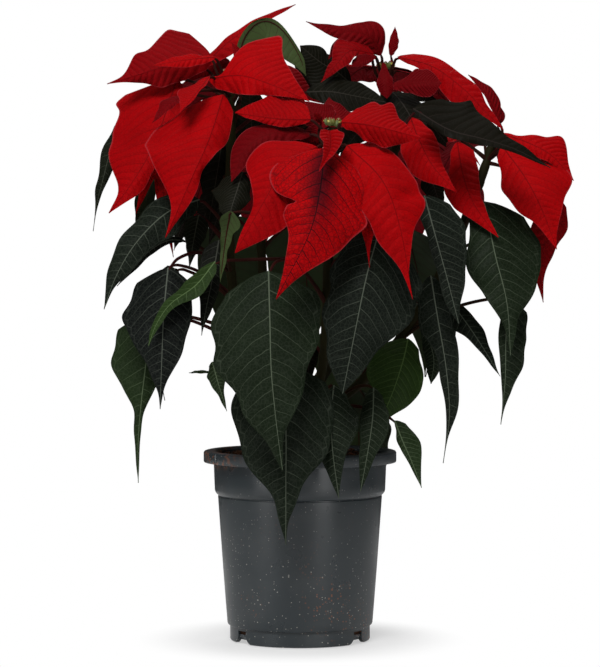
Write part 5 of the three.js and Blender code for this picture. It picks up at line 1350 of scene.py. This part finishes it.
def icosahedron():
    """The twelve corners and twenty faces of a ball of twenty sides. The corners are those
    of three upright rectangles whose sides are as 1 to the golden section."""
    g = (1 + 5**0.5) / 2
    corners = np.array([(-1, g, 0), (1, g, 0), (-1, -g, 0), (1, -g, 0), (0, -1, g), (0, 1, g),
                        (0, -1, -g), (0, 1, -g), (g, 0, -1), (g, 0, 1), (-g, 0, -1), (-g, 0, 1)], float)
    faces = np.array([(0, 11, 5), (0, 5, 1), (0, 1, 7), (0, 7, 10), (0, 10, 11), (1, 5, 9), (5, 11, 4),
                      (11, 10, 2), (10, 7, 6), (7, 1, 8), (3, 9, 4), (3, 4, 2), (3, 2, 6), (3, 6, 8),
                      (3, 8, 9), (4, 9, 5), (2, 4, 11), (6, 2, 10), (8, 6, 7), (9, 8, 1)])
    return unit(corners), faces


def crumbs(centres, sizes, draw):
    """Many crumbs at once: the ball, pushed about, stretched, turned and set at its place."""
    corners, faces = icosahedron()
    count = len(centres)
    shape = corners[None] * draw.uniform(0.72, 1.2, (count, 12, 1))
    shape = shape * draw.uniform(0.55, 1.35, (count, 1, 3))
    turns = np.linalg.qr(draw.normal(size=(count, 3, 3)))[0]
    turns *= np.sign(np.linalg.det(turns))[:, None, None]
    shape = np.einsum("nij,nkj->nki", turns, shape) * sizes[:, None, None]
    points = centres[:, None] + shape
    triangles = faces[None] + 12 * np.arange(count)[:, None, None]
    look = np.zeros((count, 12, 3))
    look[..., 0] = draw.beta(0.7, 1.3, (count, 1))
    look[..., 1] = (draw.random((count, 1)) < 0.03) * draw.uniform(0.3, 0.9, (count, 1))
    return points, triangles.reshape(-1, 3), {"crumb_look": look.reshape(-1, 3)}


make_piece("peat_plug", soil_plug(), peat, ["soil"])

CRUMB_COUNT = 2300
draw = np.random.default_rng(7)
far = np.sqrt(draw.random(CRUMB_COUNT)) * (SOIL_EDGE - 1.2 * MM)
way = draw.uniform(0, 2 * np.pi, CRUMB_COUNT)
x, y = far * np.cos(way), far * np.sin(way)
sizes = np.clip(draw.lognormal(-0.15, 0.45, CRUMB_COUNT), 0.4, 2.6) * MM
centres = np.stack([x, y, soil_height(x, y) + 0.2 * sizes], -1)
make_piece("peat_crumbs", crumbs(centres, sizes, draw), peat, ["soil"], crease=25)

# %% [markdown]
# ## Pot
# A moulded pot is a turned shape: a profile carried round the axis, down the outside from
# the lip to the foot and back up the inside. The lip folds over into a skirt. The foot is a
# ring with four slots that let water out, and the ends of its four arcs curve up. So the
# body and the ring are two turned solids, and the ring is four arcs of one.

# %% Pot body
POT_SIDES = 180
POT_HEIGHT, LIP_RADIUS, RING_RADIUS = 127.0, 65.0, 47.2
SLOT_TOP = 8.4  # height at which the body ends above the foot ring
SEAM_ANGLE = np.radians(210)

OUTSIDE = [  # radius and height in millimetres, from the lip's inner edge down to the foot ring
    (57.6, 126.6), (58.2, POT_HEIGHT), (63.6, POT_HEIGHT), (64.5, 126.7), (LIP_RADIUS, 125.9),
    (LIP_RADIUS, 120.2), (64.7, 119.6), (64.0, 119.5), (63.2, 119.8), (63.0, 120.6), (63.0, 124.4),
    (62.4, 125.0), (59.2, 125.0), (58.5, 124.6), (58.35, 123.8), (57.95, 112.0), (57.5, 100.9),
    (57.2, 99.6), (56.3, 98.3), (55.5, 97.6), (54.95, 97.2), (54.95, 96.8), (55.3, 96.4), (55.28, 95.6),
    (53.6, 72.0), (51.9, 48.0), (50.2, 26.0), (49.0, 11.4), (48.7, 10.5), (48.1, 10.2), (47.4, 10.1),
    (RING_RADIUS, 9.7), (RING_RADIUS, SLOT_TOP)]
INSIDE = [(45.5, SLOT_TOP), (45.9, 9.0), (48.6, 48.0), (53.4, 97.4), (55.4, 100.4), (56.3, 115.0),
          (56.5, 125.4)]


def turned(profile, angles):
    """A profile of radius and height in millimetres, carried round the axis to each angle."""
    radius, height = np.array(profile, float).T[:, :, None]
    shape = np.broadcast_arrays(radius * np.cos(angles), radius * np.sin(angles), height + 0 * angles)
    return np.stack(shape, -1) * MM


def densified(profile, longest=6.0):
    """A profile with points added, so that no step is longer than the given one."""
    profile = np.array(profile, float)
    out = [profile[0]]
    for start, end in zip(profile, profile[1:]):
        steps = int(np.ceil(np.linalg.norm(end - start) / longest))
        out += [start + (end - start) * k / steps for k in range(1, steps + 1)]
    return np.array(out)


def looped(rows):
    """A grid with its first row again at its end, so that the last row joins the first."""
    return np.concatenate([rows, rows[:1]])


def pot_body():
    """The pot above its slots: the closed profile turned, with the moulding seam pressed
    into the lip as a narrow dent."""
    even = np.linspace(0, 2 * np.pi, POT_SIDES, endpoint=False)
    near_seam = SEAM_ANGLE + np.radians([-1.6, -1.1, -0.7, -0.35, 0, 0.35, 0.7, 1.1, 1.6])
    angles = np.unique(np.concatenate([even, near_seam]))
    profile = looped(densified(OUTSIDE + INSIDE))
    points = turned(profile, angles)
    on_lip = (profile[:, 1] > 119) & (profile[:, 0] > 62.8)
    dent = 0.9 * MM * np.exp(-(((angles - SEAM_ANGLE) / np.radians(0.7)) ** 2)) * on_lip[:, None]
    outward = np.stack([np.cos(angles), np.sin(angles), 0 * angles], -1)
    return points - outward * dent[..., None], grid_quads(len(points), len(angles), wrap=True), {}


def pot_floor():
    """The floor: a disc that stands on its middle and is raised between there and the ring."""
    profile = [(0, 0.0), (13.6, 0.0), (14.3, 0.4), (15.2, 2.2), (16.0, 2.4), (44.6, 2.4), (46.3, 4.4),
               (46.3, 6.0), (45.6, 6.0), (45.4, 4.5), (0, 4.5)]
    points = turned(densified(profile), np.linspace(0, 2 * np.pi, 120, endpoint=False))
    return points, grid_quads(len(points), 120, wrap=True), {}


# %% Pot foot
SLOT_ANGLES = (35, 145, 215, 325)
SLOT_WIDTH = 9.0
FOOT_CORNER = 5.0  # radius of the curve at either end of an arc
ARC_TOP = 9.0


def foot_arc(start, end):
    """One arc of the foot ring between two angles in degrees. Its section is a wall with
    rounded lower edges, and towards either end the lower edge rises on a quarter circle:
    corner - sqrt(corner^2 - d^2), where d is how far the place lies inside the corner."""
    near = np.linspace(0, 6.5, 14)
    far = np.linspace(start + 8, end - 8, 26)
    angles = np.radians(np.concatenate([start + near, far, end - near[::-1]]))
    to_end = np.minimum(angles - angles[0], angles[-1] - angles) * RING_RADIUS
    inside = np.clip(FOOT_CORNER - to_end, 0, FOOT_CORNER)
    rise = FOOT_CORNER - np.sqrt(FOOT_CORNER**2 - inside**2)
    section = np.array([(RING_RADIUS, 0.0), (RING_RADIUS, 0.93), (46.8, 1.0), (44.8, 1.0), (44.4, 0.93),
                        (44.4, 0.0)])
    radius, drop = section[:, :1], section[:, 1:]
    height = ARC_TOP * (1 - drop) + rise * drop
    points = looped(np.stack([radius * np.cos(angles), radius * np.sin(angles), height], -1) * MM)
    middle = points[:-1].mean(0)
    shut = [np.broadcast_to(middle[k], (len(points), 1, 3)) for k in (0, -1)]
    points = np.concatenate([shut[0], points, shut[1]], 1)
    return points, grid_quads(*points.shape[:2]), {}


half_slot = np.degrees(SLOT_WIDTH / 2 / RING_RADIUS)
arc_ends = zip(SLOT_ANGLES, SLOT_ANGLES[1:] + (SLOT_ANGLES[0] + 360,))
arcs = [foot_arc(a + half_slot, b - half_slot) for a, b in arc_ends]
make_piece("nursery_pot", joined([pot_body(), pot_floor(), *arcs]), plastic, ["pot"], crease=32)

# %% [markdown]
# ## Floor
# The floor is a pale disc just under the pot. It is the stage and no part of the plant.
# Round the pot's foot it takes the light and a soft shadow, and outwards it fades to a
# plain white glow for the camera, so that its edge doesn't show against the room.

# %% Floor
FLOOR_RADIUS, FLOOR_SIDES = 0.6, 96
FLOOR_DROP = 0.6 * MM
floor_material, w, surface = new_material("floor", 0.8, 0.1)
surface.inputs["Base Color"].default_value = rgb(0.86, 0.86, 0.86)
from_pot = w.add("ShaderNodeVectorMath", {"Vector": w.object_place()}, operation="LENGTH").outputs["Value"]
by_camera = w.add("ShaderNodeLightPath").outputs["Is Camera Ray"]
bright = w.times(w.ramp(from_pot, 0.055, 0.115, 0.5, 1.0), by_camera)
glow = w.add("ShaderNodeEmission", {"Strength": 1.0})
faded = w.add("ShaderNodeMixShader", {"Fac": bright})
w.tree.links.new(surface.outputs[0], faded.inputs[1])
w.tree.links.new(glow.outputs[0], faded.inputs[2])
w.put(w.tree.nodes["Material Output"].inputs["Surface"], faded.outputs[0])
ring = np.linspace(0, 2 * np.pi, FLOOR_SIDES, endpoint=False)
edge = np.stack([np.cos(ring), np.sin(ring), 0 * ring], -1) * FLOOR_RADIUS
disc = bpy.data.meshes.new("floor")
disc.from_pydata([tuple(p - (0, 0, FLOOR_DROP)) for p in edge], [], [tuple(range(FLOOR_SIDES))])
disc.materials.append(floor_material)
floor = bpy.data.objects.new("floor", disc)
bpy.context.scene.collection.objects.link(floor)
